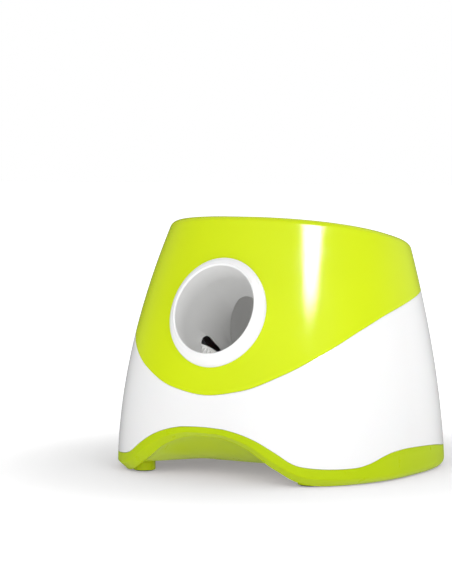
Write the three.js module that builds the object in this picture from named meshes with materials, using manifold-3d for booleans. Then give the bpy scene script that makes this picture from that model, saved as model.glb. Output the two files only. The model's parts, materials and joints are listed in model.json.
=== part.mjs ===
// Automatic ball launcher for dogs: a free-standing casing with a hopper on top, a slanted launch tube
// behind a round muzzle, two ribbed wheels that pinch the ball, and an arm that feeds it to them.
// Millimetres, +Z up, the muzzle looks along -Y, and the origin is the bottom centre of the casing.
import * as THREE from 'three';
import { mergeVertices } from 'three/addons/utils/BufferGeometryUtils.js';
import Module from 'manifold-3d';

const wasm = await Module();
wasm.setup();

// Driving dimensions

const seatGap = 0.3;
const cutOverrun = 20;
const weldDistance = 0.001;

// Casing: every level is a superellipse whose half sizes shrink towards the rim
const casing = {
  height: 232,
  halfWidth: 140,
  topHalfWidth: 102,
  front: 136,
  topFront: 74,
  back: 133.2,
  topBack: 95.5,
  wall: 3,
  lapHeight: 6,
  lapWall: 2,
  seam: 0.4,
  facetPlay: 1,
  lapPlay: 0.6,
};
const widthCurveShare = 1.89;
const frontCurveShare = 1.83;
const backCurveShare = 1.3;
const lowSquareShare = 2.6;
const middleSquareShare = 2.5;
const highSquareShare = 2.3;
const casingSteps = 44;
const frontCrowdingShare = 0.3;

// Rim: a plane that is high over the muzzle and low at the back
const rim = {
  height: 213,
  fall: 0.2,
  round: 5,
  lipInset: 9,
  lipThickness: 3,
};

// Seam between the coloured upper shell and the white lower shell, low at the front, high at the back
const split = { frontHeight: 75.2, backDrop: 47 };
const splitShares = [
  [0, 0], [15, 0.057], [30, 0.214], [45, 0.42], [60, 0.615],
  [75, 0.745], [90, 0.82], [110, 0.9], [135, 0.965], [180, 1],
];

// Base: its top edge is a wave, and its bottom edge rises in an arch under the muzzle
const base = {
  waveLow: 14,
  waveHigh: 49.5,
  skirtBottom: 1,
  archTop: 43,
  tuck: 6.5,
  tuckHeight: 7,
  edgeWidth: 5,
  bellyBottom: 10,
  bellyWall: 3,
};
// Pan: the low floor behind the arch's hollow, which ends in a curved wall under the tube
const pan = {
  bottom: 4,
  inset: 6.7,
  wall: 3,
  hollowInset: 9.4,
  halfWidth: 112,
  frontY: -136,
  backY: 14,
};
const panSteps = 30;
const waveShares = [
  [0, 0.96], [8, 0.94], [13, 0.885], [18, 0.79], [22, 0.68], [26, 0.53], [30, 0.36], [33, 0.22], [36, 0.13],
  [40, 0.08], [46, 0.045], [51, 0.037], [56, 0.045], [62, 0.12], [68, 0.245], [74, 0.325], [82, 0.352],
  [92, 0.33], [105, 0.275], [120, 0.155], [132, 0.08], [145, 0.14], [162, 0.3], [180, 0.35],
];
const archShares = [
  [0, 1], [6, 0.985], [10, 0.945], [15, 0.86], [20, 0.72], [25, 0.56], [29, 0.42], [32, 0.24], [34.5, 0.1],
  [38, 0.03], [43, 0], [180, 0],
];
const vaultStartShare = 0.5;

// Launch direction and muzzle
const launch = {
  muzzleHeight: 146,
  elevation: 35,
  faceLean: 20,
};
const muzzle = {
  outerRadius: 48.2,
  innerRadius: 39.6,
  lipRadius: 41.4,
  lipRise: 5,
  lipChamfer: 1.5,
  edgeHeight: 2,
  spigotRadius: 41.8,
  spigotGrip: 7,
};
const muzzleSteps = 28;

const tube = {
  mouthRadius: 39.8,
  boreRadius: 34,
  wall: 3,
  taperEnd: 46,
  flangeRadius: 48,
  flangeThickness: 3,
  boreLength: 121,
  endWall: 3,
  mouthWall: 3,
};
const inlet = {
  y: -28,
  radius: 32.3,
  wall: 2.5,
  top: 167,
};
const hopper = {
  wall: 2.5,
  throatRadius: 29.6,
  spigotLength: 9,
  floorHeight: 172,
  gapToLip: 0.4,
  clampWidth: 3.5,
};
const hopperSteps = 32;
const hopperShares = [
  [0, 0], [0.07, 0.34], [0.22, 0.64], [0.52, 0.87], [1, 1],
];

// Launch wheels, one at each side of the tube
const wheel = {
  radius: 26,
  ribHeight: 1.7,
  ribTread: 12,
  width: 18,
  nip: 46.8,
  inward: 63.6,
  midDrop: 17,
  hubRadius: 19,
  rimWall: 2.2,
  webWall: 3,
  bossRadius: 4.5,
  shaftRadius: 1.6,
  hubInset: 1,
  shaftInset: 1,
};
const wheelRibs = 38;
const hubSteps = 20;
const slot = { topRise: 2.2, bottomDrop: 28, cornerRadius: 9, sideClearance: 1 };
const housing = { clearance: 2.5, wall: 2.2 };
const motor = {
  radius: 13.5,
  length: 36,
  bossRadius: 3.4,
  bossHeight: 1.6,
  tailRadius: 5,
  tailHeight: 2.5,
  shaftDepth: 10,
  shaftPlay: 2,
  chamfer: 1,
};

// Feed arm: a toothed sector and a pusher on one pivot under the breech
const feed = {
  pivotInward: 112,
  pivotDrop: 50,
  headInward: 128,
  headDrop: 9,
  headRadius: 6,
  armWidth: 8,
  hubRadius: 7.5,
  thickness: 10,
  pinRadius: 2.5,
  toothModule: 1.5,
};
const sectorTeeth = 40;
const pinionTeeth = 12;
const sectorFirstTooth = -4;
const sectorLastTooth = 1;
const pressureAngle = 20;
const toothFillShare = 0.93;
const feedSlot = { width: 15, start: 97, top: 2 };

const bracket = {
  cheekGap: 2.5,
  cheekWall: 3,
  cheekWidth: 20,
  plate: 3,
  pinOverhang: 1.5,
  seatInset: 1,
};
const gearbox = {
  width: 22,
  depth: 30,
  height: 26,
  setback: 3.5,
  drop: 15,
  shaftDepth: 9,
  shaftPlay: 1,
  corner: 3,
};
const feedMotor = { radius: 10, length: 26, tailRadius: 3.5, tailLength: 2.5 };
const pinionShaftRadius = 2.5;

// Ball lever and its switch under the tube floor
const lever = {
  x: 16,
  width: 4,
  pivotInward: 83,
  pivotDrop: 37.2,
  tipInward: 102,
  tipDrop: 27.5,
  blade: 1.2,
  hubRadius: 1.6,
  axleRadius: 1,
};
const ballSwitch = { width: 7, length: 17, depth: 9, railWall: 2, railEnd: 2 };

// Rear panel
const panel = {
  height: 74,
  width: 74,
  tall: 34,
  wall: 2.6,
  recess: 2.4,
  corner: 6,
};
const button = { radius: 7, smallRadius: 5, proud: 2.2, depth: 7, flange: 1.5, edge: 0.8 };
const buttonPlaces = { powerX: -20, levelX: -2 };
const lens = { radius: 2.2, depth: 4, proud: 0.5, pitch: 7, x: 14 };
const jack = { radius: 4.2, bore: 2.6, pin: 0.9, depth: 11, floor: 2, pinInset: 1, x: 29 };
const board = { width: 66, tall: 28, wall: 1.6, standoff: 11, postRadius: 1.8, postX: 31, postY: 9 };
const buzzer = { radius: 6, height: 5, x: 14 };

// Battery bay in the belly
const cell = { radius: 13, length: 49, nubRadius: 3, nubLength: 1.5, gap: 0.8 };
const cellRows = 3;
const bay = { toGearbox: 7.87, wall: 2.5, play: 2.6, contactWall: 0.6, contactTall: 14 };
const door = { wall: 2.6, hingeRadius: 2.4, grip: 14, gripDepth: 1, tab: 8 };

// Feet, screws and supports
const foot = {
  frontX: 86,
  frontY: -96,
  backX: 86,
  backY: 92,
  radius: 10,
  padRadius: 8.6,
  padWall: 3,
  padChamfer: 1,
  socket: 2,
};
const screw = {
  x: 60,
  toBay: 6.5,
  headRadius: 3.6,
  headWall: 2.2,
  shankRadius: 1.7,
  shank: 12,
  holeSpare: 2,
};
const boss = { radius: 4.6, height: 26 };
const heel = { x: 58, y: -5, width: 17, depth: 18, corner: 3, lift: 1.5 };
const stay = { x: 20, width: 5, depth: 13, setback: 78.43 };

// Materials

function plastic(color, roughness) {
  return new THREE.MeshStandardMaterial({ color, roughness, metalness: 0 });
}

const lime = plastic(0xc9e019, 0.18);
const white = plastic(0xf2f2f0, 0.2);
const satinWhite = plastic(0xe4e4e2, 0.45);
const grey = plastic(0x9a9a9a, 0.6);
const darkGrey = plastic(0x33363a, 0.55);
const rubber = plastic(0x2b2b2b, 0.85);
const green = plastic(0x1f6b3a, 0.5);
const clearLens = plastic(0xd8f0d0, 0.1);
const steel = new THREE.MeshStandardMaterial({ color: 0xb9bcc0, roughness: 0.3, metalness: 1 });
const nickel = new THREE.MeshStandardMaterial({ color: 0xcfd0cc, roughness: 0.35, metalness: 1 });

// Solids and booleans

function toSolid(geometry) {
  const bare = geometry.clone();
  bare.deleteAttribute('normal');
  bare.deleteAttribute('uv');
  const welded = mergeVertices(bare, weldDistance);
  return new wasm.Manifold(new wasm.Mesh({
    numProp: 3,
    vertProperties: welded.attributes.position.array,
    triVerts: new Uint32Array(welded.index.array),
  }));
}

function toGeometry(shape) {
  const result = shape.getMesh();
  const geometry = new THREE.BufferGeometry();
  geometry.setAttribute('position', new THREE.BufferAttribute(result.vertProperties, 3));
  geometry.setIndex(new THREE.BufferAttribute(result.triVerts, 1));
  return geometry;
}

function join(first, ...others) {
  return others.reduce((sum, next) => sum.add(toSolid(next)), toSolid(first));
}

function cut(shape, ...cutters) {
  return cutters.reduce((rest, cutter) => rest.subtract(toSolid(cutter)), shape);
}

const launcher = new THREE.Group();

function addPiece(name, shape, material, parent = launcher) {
  const geometry = shape.isBufferGeometry ? shape : toGeometry(shape);
  const mesh = new THREE.Mesh(geometry, material);
  mesh.name = name;
  parent.add(mesh);
  return mesh;
}

// Basic shapes, all with their axis along Z

function cylinder(radius, length, steps, low = 0) {
  const geometry = new THREE.CylinderGeometry(radius, radius, length, steps);
  geometry.rotateX(Math.PI / 2);
  return geometry.translate(0, 0, low + length / 2);
}

function block(low, high) {
  const size = high.map((value, axis) => value - low[axis]);
  const geometry = new THREE.BoxGeometry(...size);
  return geometry.translate(...high.map((value, axis) => (value + low[axis]) / 2));
}

// A turned piece from [radius, height] pairs that start and end on the axis or close on themselves
function turned(profile, steps) {
  const points = profile.map(([radius, height]) => new THREE.Vector2(radius, height));
  const geometry = new THREE.LatheGeometry(points, steps);
  geometry.rotateX(Math.PI / 2);
  return outward(geometry);
}

function roundedOutline(width, tall, corner) {
  const outline = new THREE.Shape();
  const x = width / 2 - corner;
  const y = tall / 2 - corner;
  outline.absarc(x, y, corner, 0, Math.PI / 2);
  outline.absarc(-x, y, corner, Math.PI / 2, Math.PI);
  outline.absarc(-x, -y, corner, Math.PI, Math.PI * 3 / 2);
  outline.absarc(x, -y, corner, Math.PI * 3 / 2, Math.PI * 2);
  return outline;
}

function extruded(outline, depth, low = 0, curveSegments = 4) {
  const geometry = new THREE.ExtrudeGeometry(outline, { depth, bevelEnabled: false, curveSegments });
  return geometry.translate(0, 0, low);
}

function outlineFrom(points) {
  return new THREE.Shape(points.map(([x, y]) => new THREE.Vector2(x, y)));
}

// Turns a mesh inside out where its signed volume is negative
function outward(geometry) {
  const bare = geometry.clone();
  bare.deleteAttribute('normal');
  bare.deleteAttribute('uv');
  const welded = mergeVertices(bare, weldDistance);
  const position = welded.attributes.position;
  const index = welded.index.array;
  const corners = [new THREE.Vector3(), new THREE.Vector3(), new THREE.Vector3()];
  const kept = [];
  let volume = 0;
  for (let face = 0; face < index.length; face += 3) {
    const [a, b, c] = [index[face], index[face + 1], index[face + 2]];
    if (a === b || b === c || c === a) continue;
    kept.push(a, b, c);
    corners.forEach((corner, i) => corner.fromBufferAttribute(position, index[face + i]));
    volume += corners[0].dot(corners[1].clone().cross(corners[2]));
  }
  if (volume < 0) {
    for (let face = 0; face < kept.length; face += 3) {
      [kept[face + 1], kept[face + 2]] = [kept[face + 2], kept[face + 1]];
    }
  }
  welded.setIndex(kept);
  return welded;
}

// Sweeps a section round a loop. A closed section makes a ring; an open one starts and ends on a pole.
function swept(sectionAt, steps, closed) {
  const vertices = [];
  const faces = [];
  const sections = [];
  for (let step = 0; step < steps; step += 1) sections.push(sectionAt(step / steps));
  const count = sections[0].length;
  sections.forEach((section) => section.forEach((point) => vertices.push(point.x, point.y, point.z)));
  const spans = closed ? count : count - 1;
  for (let step = 0; step < steps; step += 1) {
    const here = step * count;
    const there = ((step + 1) % steps) * count;
    for (let row = 0; row < spans; row += 1) {
      const next = (row + 1) % count;
      faces.push(here + row, there + row, there + next);
      faces.push(here + row, there + next, here + next);
    }
  }
  const geometry = new THREE.BufferGeometry();
  geometry.setAttribute('position', new THREE.Float32BufferAttribute(vertices, 3));
  geometry.setIndex(faces);
  return outward(geometry);
}

// Reads a smooth curve through [place, share] pairs
function readShares(table, place) {
  let right = table.findIndex(([at]) => at >= place);
  if (right < 1) right = right < 0 ? table.length - 1 : 1;
  const left = right - 1;
  const slopeAt = (i) => {
    if (i <= 0 || i >= table.length - 1) return 0;
    const before = (table[i][1] - table[i - 1][1]) / (table[i][0] - table[i - 1][0]);
    const after = (table[i + 1][1] - table[i][1]) / (table[i + 1][0] - table[i][0]);
    return before * after <= 0 ? 0 : 2 * before * after / (before + after);
  };
  const span = table[right][0] - table[left][0];
  const t = Math.min(Math.max((place - table[left][0]) / span, 0), 1);
  const rise = t * t * (3 - 2 * t);
  const inSlope = t * (1 - t) * (1 - t) * span * slopeAt(left);
  const outSlope = t * t * (t - 1) * span * slopeAt(right);
  return table[left][1] * (1 - rise) + table[right][1] * rise + inSlope + outSlope;
}

// Casing surface

function lerp(from, to, share) {
  return from + (to - from) * share;
}

function squareness(t) {
  return lowSquareShare * (1 - t) * (1 - 2 * t) + 4 * middleSquareShare * t * (1 - t)
    + highSquareShare * t * (2 * t - 1);
}

function casingLevel(z, inset = 0) {
  const t = Math.max(z, 0) / casing.height;
  return {
    half: lerp(casing.halfWidth, casing.topHalfWidth, t ** widthCurveShare) - inset,
    front: -lerp(casing.front, casing.topFront, t ** frontCurveShare) + inset,
    back: lerp(casing.back, casing.topBack, t ** backCurveShare) - inset,
    square: squareness(t),
  };
}

// angle runs from the front centre (0) over the right side (90) to the back centre (180), in degrees
function casingPoint(angle, z, inset = 0, shrinkShare = 1) {
  const level = casingLevel(z, inset);
  const turn = THREE.MathUtils.degToRad(angle - 90);
  const cos = Math.cos(turn);
  const sin = Math.sin(turn);
  const reach = (Math.abs(cos) ** level.square + Math.abs(sin) ** level.square) ** (-1 / level.square);
  const middle = (level.front + level.back) / 2;
  return new THREE.Vector3(
    level.half * reach * cos * shrinkShare,
    middle + (level.back - level.front) / 2 * reach * sin * shrinkShare,
    z,
  );
}

function rimPoint(angle, inset, drop) {
  let z = rim.height - drop;
  for (let pass = 0; pass < 12; pass += 1) {
    z = rim.height - rim.fall * casingPoint(angle, z, inset).y - drop;
  }
  return casingPoint(angle, z, inset);
}

// Loop share to angle: the loop is crowded at the front and the back, where the edges curve most
function loopAngle(share) {
  return 360 * share - frontCrowdingShare * 180 / Math.PI * Math.sin(4 * Math.PI * share) / 2;
}

const foldedAngle = (angle) => (angle > 180 ? 360 - angle : angle);
const readFolded = (table, angle) => readShares(table, foldedAngle(angle));
const splitBack = rim.height - split.backDrop;
const splitHeight = (angle) => lerp(split.frontHeight, splitBack, readFolded(splitShares, angle));
const waveHeight = (angle) => lerp(base.waveLow, base.waveHigh, readFolded(waveShares, angle));
const edgeHeight = (angle) => lerp(base.skirtBottom, base.archTop, readFolded(archShares, angle));

function rows(from, to, count) {
  return Array.from({ length: count + 1 }, (_, row) => lerp(from, to, row / count));
}

const lapInset = casing.wall + casing.lapPlay;
const lapInner = lapInset + casing.lapWall;

// Upper shell: the coloured cover from the split up to the rolled rim and its inner lip
function upperShellSection(share) {
  const angle = loopAngle(share);
  const low = splitHeight(angle) + casing.seam / 2;
  const top = rimPoint(angle, 0, rim.round).z;
  const outer = rows(low, top, 4).map((z) => casingPoint(angle, z));
  const roll = [35, 65, 90].map((turn) => {
    const bend = THREE.MathUtils.degToRad(turn);
    return rimPoint(angle, rim.round * (1 - Math.cos(bend)), rim.round * (1 - Math.sin(bend)));
  });
  const lip = [
    rimPoint(angle, rim.lipInset, 0),
    rimPoint(angle, rim.lipInset, rim.lipThickness),
    rimPoint(angle, rim.round, rim.lipThickness),
    rimPoint(angle, casing.wall, rim.round + casing.wall),
  ];
  const innerTop = lip[3].z;
  const inner = rows(innerTop, low, 3).slice(1).map((z) => casingPoint(angle, z, casing.wall));
  return [...outer, ...roll, ...lip, ...inner];
}

// Lower shell: the white band between the split and the base, with a lap behind the upper shell
function lowerShellSection(share) {
  const angle = loopAngle(share);
  const low = waveHeight(angle) + casing.seam / 2;
  const top = splitHeight(angle) - casing.seam / 2;
  const outer = rows(low, top, 3).map((z) => casingPoint(angle, z));
  const lap = [
    casingPoint(angle, top, lapInset),
    casingPoint(angle, top + casing.lapHeight, lapInset),
    casingPoint(angle, top + casing.lapHeight, lapInner),
    casingPoint(angle, top - casing.lapWall, lapInner),
  ];
  const inner = rows(top - casing.lapWall * 2, low, 2).map((z) => casingPoint(angle, z, casing.wall));
  return [...outer, ...lap, ...inner];
}

// Base tray: belly plate, arched skirt and a lap behind the lower shell
function vaultHeight(angle, share) {
  const t = Math.min(Math.max((share - vaultStartShare) / (1 - vaultStartShare), 0), 1);
  const skirt = Math.max(edgeHeight(angle) + base.bellyWall, base.bellyBottom);
  return lerp(base.bellyBottom, skirt, t * t * (3 - 2 * t));
}

const bellyRimInset = base.tuck + base.edgeWidth;

function baseTraySection(share) {
  const angle = loopAngle(share);
  const edge = edgeHeight(angle);
  const wave = waveHeight(angle) - casing.seam / 2;
  const under = [0, 0.5, 0.67, 0.84, 1].map((along) => {
    const z = vaultHeight(angle, along);
    return casingPoint(angle, z, bellyRimInset, along);
  });
  const tuckTop = Math.min(edge + base.tuckHeight, lerp(edge, wave, 0.7));
  const skirt = [
    casingPoint(angle, edge, base.tuck + 1.5 * seatGap),
    casingPoint(angle, edge, base.tuck * 0.62),
    casingPoint(angle, lerp(edge, tuckTop, 0.4), base.tuck * 0.18),
    casingPoint(angle, tuckTop),
    casingPoint(angle, lerp(tuckTop, wave, 0.5)),
    casingPoint(angle, wave),
  ];
  const lap = [
    casingPoint(angle, wave, lapInset),
    casingPoint(angle, wave + casing.lapHeight, lapInset),
    casingPoint(angle, wave + casing.lapHeight, lapInner),
  ];
  const over = [1, 0.84, 0.67, 0.5, 0].map((along) => {
    const z = vaultHeight(angle, along) + base.bellyWall;
    return casingPoint(angle, z, bellyRimInset - base.bellyWall, along);
  });
  return [...under, ...skirt, ...lap, ...over];
}

// Launch frame: local Z points out of the tube, local Y is square to it and up
const muzzleCentre = new THREE.Vector3(0, casingLevel(launch.muzzleHeight).front, launch.muzzleHeight);
const launchFrame = new THREE.Group();
launchFrame.position.copy(muzzleCentre);
launchFrame.rotation.x = THREE.MathUtils.degToRad(90 - launch.elevation);
launchFrame.updateMatrixWorld();
launcher.add(launchFrame);
const toWorld = launchFrame.matrixWorld;
const toLaunch = toWorld.clone().invert();
const shearAngle = THREE.MathUtils.degToRad(launch.elevation - launch.faceLean);

// Leans a piece turned about the launch axis, so that its end faces lie along the casing's front
function sheared(geometry) {
  const shear = new THREE.Matrix4().set(
    1, 0, 0, 0,
    0, Math.cos(shearAngle), 0, 0,
    0, Math.sin(shearAngle), 1, 0,
    0, 0, 0, 1,
  );
  return geometry.applyMatrix4(shear);
}

function launchPoint(x, rise, inward) {
  return new THREE.Vector3(x, rise, -inward).applyMatrix4(toWorld);
}

// Height of the casing's skin over the muzzle plane, along the launch direction
function skinHeight(x, rise, inset) {
  const outside = (height) => {
    const point = new THREE.Vector3(x, rise, height).applyMatrix4(toWorld);
    const level = casingLevel(point.z, inset);
    const middle = (level.front + level.back) / 2;
    const half = (level.back - level.front) / 2;
    return Math.abs(point.x / level.half) ** level.square
      + Math.abs((point.y - middle) / half) ** level.square - 1;
  };
  let low = -muzzle.outerRadius;
  let high = muzzle.outerRadius;
  for (let pass = 0; pass < 40; pass += 1) {
    const middle = (low + high) / 2;
    if (outside(middle) > 0) high = middle;
    else low = middle;
  }
  return (low + high) / 2;
}

function muzzlePoint(share, radius, height) {
  const turn = 2 * Math.PI * share;
  const along = radius * Math.sin(turn);
  return new THREE.Vector3(
    radius * Math.cos(turn),
    along * Math.cos(shearAngle),
    along * Math.sin(shearAngle) + height,
  );
}

// Gap from the plane of the muzzle down to the skin at one place round it
function skinDrop(share, radius, inset) {
  const point = muzzlePoint(share, radius, 0);
  return skinHeight(point.x, point.y, inset) - point.z;
}

const muzzleShares = rows(0, 1, muzzleSteps).slice(1);
const innerSkinDrops = muzzleShares.map((share) => skinDrop(share, tube.flangeRadius, casing.wall));
const mouthDepth = -Math.min(...innerSkinDrops) + casing.facetPlay;

// Shells

const socketRadius = muzzle.spigotRadius + seatGap;
const muzzleHole = sheared(cylinder(socketRadius, 4 * cutOverrun, muzzleSteps, -2 * cutOverrun));
muzzleHole.applyMatrix4(toWorld);
addPiece('upper_shell', cut(toSolid(swept(upperShellSection, casingSteps, true)), muzzleHole), lime);

// Rear panel frame: local Z points out of the back, local Y runs up the casing
const panelFoot = casingLevel(panel.height - panel.tall / 2).back;
const panelTop = casingLevel(panel.height + panel.tall / 2).back;
const panelLean = Math.atan2(panelFoot - panelTop, panel.tall);
const panelFrame = new THREE.Group();
panelFrame.position.set(0, casingLevel(panel.height).back, panel.height);
panelFrame.rotation.set(Math.PI / 2 - panelLean, 0, Math.PI, 'ZXY');
panelFrame.updateMatrixWorld();
launcher.add(panelFrame);
const panelToWorld = panelFrame.matrixWorld;

const panelHole = extruded(roundedOutline(panel.width, panel.tall, panel.corner), 2 * cutOverrun, -cutOverrun);
panelHole.applyMatrix4(panelToWorld);

const bellyTop = base.bellyBottom + base.bellyWall;

const lowerShell = toSolid(swept(lowerShellSection, casingSteps, true));
addPiece('lower_shell', cut(lowerShell, panelHole), white);

// The feed's pivot and gearbox hang from the launch direction
const pivot = launchPoint(0, -feed.pivotDrop, feed.pivotInward);
const sectorRadius = feed.toothModule * sectorTeeth / 2;
const pinionRadius = feed.toothModule * pinionTeeth / 2;
const pinionX = sectorRadius + pinionRadius;
const boxX = pinionX + gearbox.corner;
const gearboxBack = pivot.y + boxX + gearbox.depth / 2;

// The battery bay lies behind the gearbox, and its sizes follow the cells
const cellPitch = 2 * cell.radius + cell.gap;
const bayHalfX = cell.length + cell.nubLength + bay.play;
const bayHalfY = cellRows * cellPitch / 2 + cell.gap;
const bayFront = gearboxBack + bay.toGearbox;
const bayY = bayFront + bay.wall + bayHalfY;
const screwPlaces = [-1, 1].map((side) => [side * screw.x, bayFront - screw.toBay]);
const doorTop = pan.bottom + door.wall;
const cellHeight = doorTop + 2 * seatGap + cell.radius;
const bayRoof = cellHeight + cell.radius + cell.gap;

const footPlaces = [];
for (const side of [-1, 1]) {
  footPlaces.push([side * foot.frontX, foot.frontY]);
  footPlaces.push([side * foot.backX, foot.backY]);
}

function footTop(x, y) {
  const angle = THREE.MathUtils.radToDeg(Math.atan2(x, -y));
  const full = casingPoint(Math.abs(angle), base.bellyBottom, bellyRimInset);
  const share = Math.hypot(x, y) / Math.hypot(full.x, full.y);
  return vaultHeight(Math.abs(angle), share);
}

// Slab inside the casing's outline, less the hollow behind the arch
function panSlab(low, high, inset, grow) {
  const slab = swept((share) => {
    const angle = loopAngle(share);
    return [
      casingPoint(angle, low, inset, 0), casingPoint(angle, low, inset),
      casingPoint(angle, high, inset), casingPoint(angle, high, inset, 0),
    ];
  }, casingSteps, false);
  const outline = new THREE.Shape();
  outline.absellipse(0, pan.frontY, pan.halfWidth + grow, pan.backY - pan.frontY + grow, 0, 2 * Math.PI);
  return cut(toSolid(slab), extruded(outline, 4 * cutOverrun, -cutOverrun, panSteps));
}

const panTop = pan.bottom + pan.wall;
let tray = toSolid(swept(baseTraySection, casingSteps, false));
tray = tray.add(panSlab(pan.bottom, bellyTop, pan.inset, 0));
tray = tray.subtract(panSlab(panTop, bellyTop + seatGap, pan.hollowInset, pan.wall));
for (const side of [-1, 1]) {
  const support = extruded(roundedOutline(heel.width, heel.depth, heel.corner),
    base.bellyBottom + base.bellyWall / 2 - heel.lift, heel.lift);
  tray = tray.add(toSolid(support.translate(side * heel.x, heel.y, 0)));
}
for (const [x, y] of footPlaces) {
  const postLow = foot.padWall - foot.socket;
  const postTop = y > 0 ? panTop : footTop(x, y);
  const post = cylinder(foot.radius, postTop + base.bellyWall / 2 - postLow, 14, postLow);
  tray = tray.add(toSolid(post.translate(x, y, 0)));
  const socket = cylinder(foot.padRadius + seatGap, 2 * foot.padWall, 14, -foot.padWall + seatGap);
  tray = cut(tray, socket.translate(x, y, 0));
}
const bayShell = block(
  [-bayHalfX - bay.wall, bayFront, pan.bottom],
  [bayHalfX + bay.wall, bayY + bayHalfY + bay.wall, bayRoof + bay.wall],
);
const bayHollow = block(
  [-bayHalfX, bayY - bayHalfY, -cutOverrun],
  [bayHalfX, bayY + bayHalfY, bayRoof],
);
tray = cut(tray.add(toSolid(bayShell)), bayHollow);
// Two screw bosses stand on the pan inside the casing
for (const [x, y] of screwPlaces) {
  const post = cylinder(boss.radius, boss.height, 12, pan.bottom + pan.wall / 2);
  tray = tray.add(toSolid(post.translate(x, y, 0)));
  const hole = cylinder(screw.shankRadius + seatGap, screw.shank + screw.holeSpare, 12, pan.bottom);
  const sinkTop = pan.bottom + screw.headWall / 2;
  const sink = cylinder(screw.headRadius + seatGap, cutOverrun, 12, sinkTop - cutOverrun);
  tray = cut(tray, hole.translate(x, y, 0), sink.translate(x, y, 0));
}
addPiece('base_tray', tray, lime);

footPlaces.forEach(([x, y], place) => {
  const pad = turned([
    [0, 0], [foot.padRadius - foot.padChamfer, 0], [foot.padRadius, foot.padChamfer],
    [foot.padRadius, foot.padWall], [0, foot.padWall],
  ], 14);
  addPiece(`foot_pad_${place + 1}`, pad.translate(x, y, 0), rubber);
});

screwPlaces.forEach(([x, y], place) => {
  const top = pan.bottom + screw.headWall / 2 - seatGap;
  const body = turned([
    [0, top - screw.headWall], [screw.headRadius * 0.7, top - screw.headWall],
    [screw.headRadius, top - screw.headWall * 0.5], [screw.headRadius, top],
    [screw.shankRadius, top], [screw.shankRadius, top + screw.shank], [0, top + screw.shank],
  ], 12);
  addPiece(`base_screw_${place + 1}`, body.translate(x, y, 0), steel);
});

// Battery door: hinged at its rear edge, with a thumb grip at the front
const doorHinge = { y: bayY + bayHalfY - seatGap - door.hingeRadius, z: pan.bottom + door.hingeRadius };
const doorPlate = block(
  [-bayHalfX + seatGap, bayY - bayHalfY + seatGap, pan.bottom],
  [bayHalfX - seatGap, doorHinge.y, doorTop],
);
const doorBarrel = cylinder(door.hingeRadius, 2 * (bayHalfX - seatGap), 16, -(bayHalfX - seatGap));
doorBarrel.rotateY(Math.PI / 2).translate(0, doorHinge.y, doorHinge.z);
const doorGrip = block(
  [-door.grip, bayY - bayHalfY + 2 * door.gripDepth, pan.bottom - door.gripDepth],
  [door.grip, bayY - bayHalfY + door.tab, pan.bottom + door.gripDepth],
);
addPiece('battery_door', cut(join(doorPlate, doorBarrel), doorGrip), lime);

for (let row = 0; row < cellRows; row += 1) {
  for (const side of [-1, 1]) {
    const body = turned([
      [0, 0], [cell.radius, 0], [cell.radius, cell.length], [cell.nubRadius, cell.length],
      [cell.nubRadius, cell.length + cell.nubLength], [0, cell.length + cell.nubLength],
    ], 14);
    body.rotateY(Math.PI / 2).translate(-cell.length - cell.nubLength - seatGap, 0, 0);
    if (side > 0) body.rotateZ(Math.PI);
    body.translate(0, bayY + (row - (cellRows - 1) / 2) * cellPitch, cellHeight);
    const number = row * 2 + (side > 0 ? 2 : 1);
    addPiece(`battery_cell_${number}`, body, darkGrey);
  }
}

for (const [name, side] of [['left', -1], ['right', 1]]) {
  const inner = side * (bayHalfX - seatGap - bay.contactWall);
  const outer = side * (bayHalfX - seatGap);
  const strip = block(
    [Math.min(inner, outer), bayY - cellPitch * cellRows / 2, cellHeight - bay.contactTall / 2],
    [Math.max(inner, outer), bayY + cellPitch * cellRows / 2, cellHeight + bay.contactTall / 2],
  );
  let contact = toSolid(strip);
  for (let row = 0; row < cellRows; row += 1) {
    const reach = bayHalfX - cell.length - cell.nubLength - 4 * seatGap;
    const spring = turned([
      [0, 0], [cell.radius / 2, 0], [cell.nubRadius, reach], [0, reach],
    ], 8);
    spring.rotateY(-side * Math.PI / 2);
    const rowY = bayY + (row - (cellRows - 1) / 2) * cellPitch;
    spring.translate(side * (bayHalfX - 2 * seatGap), rowY, cellHeight);
    contact = contact.add(toSolid(spring));
  }
  addPiece(`battery_contact_${name}`, contact, nickel);
}

// Muzzle ring: its outer edge follows the skin, and its inner lip stands proud in one plane
function muzzleRingSection(share) {
  const foot = skinDrop(share, muzzle.outerRadius, 0) + seatGap;
  const bead = (muzzle.outerRadius + muzzle.lipRadius) / 2;
  const seat = skinDrop(share, muzzle.spigotRadius, 0) + seatGap;
  const crown = Math.max(foot + muzzle.edgeHeight, foot / 2 + muzzle.edgeHeight);
  return [
    muzzlePoint(share, muzzle.outerRadius, foot),
    muzzlePoint(share, muzzle.outerRadius, foot + muzzle.edgeHeight / 2),
    muzzlePoint(share, muzzle.outerRadius - muzzle.edgeHeight / 2, crown),
    muzzlePoint(share, bead, lerp(crown, muzzle.lipRise, 0.6)),
    muzzlePoint(share, muzzle.lipRadius, muzzle.lipRise),
    muzzlePoint(share, muzzle.innerRadius, muzzle.lipRise - muzzle.lipChamfer),
    muzzlePoint(share, muzzle.innerRadius, -mouthDepth - muzzle.spigotGrip),
    muzzlePoint(share, muzzle.spigotRadius, -mouthDepth - muzzle.spigotGrip),
    muzzlePoint(share, muzzle.spigotRadius, seat),
  ];
}
addPiece('muzzle_ring', swept(muzzleRingSection, muzzleSteps, true), white, launchFrame);

// Launch tube: flange, tapered barrel with a closed breech, and an upright collar for the hopper
const barrelEnd = tube.boreLength + tube.endWall;
const flangeLow = -mouthDepth - tube.flangeThickness;
const flange = sheared(cylinder(tube.flangeRadius, tube.flangeThickness, muzzleSteps, flangeLow));

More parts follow.
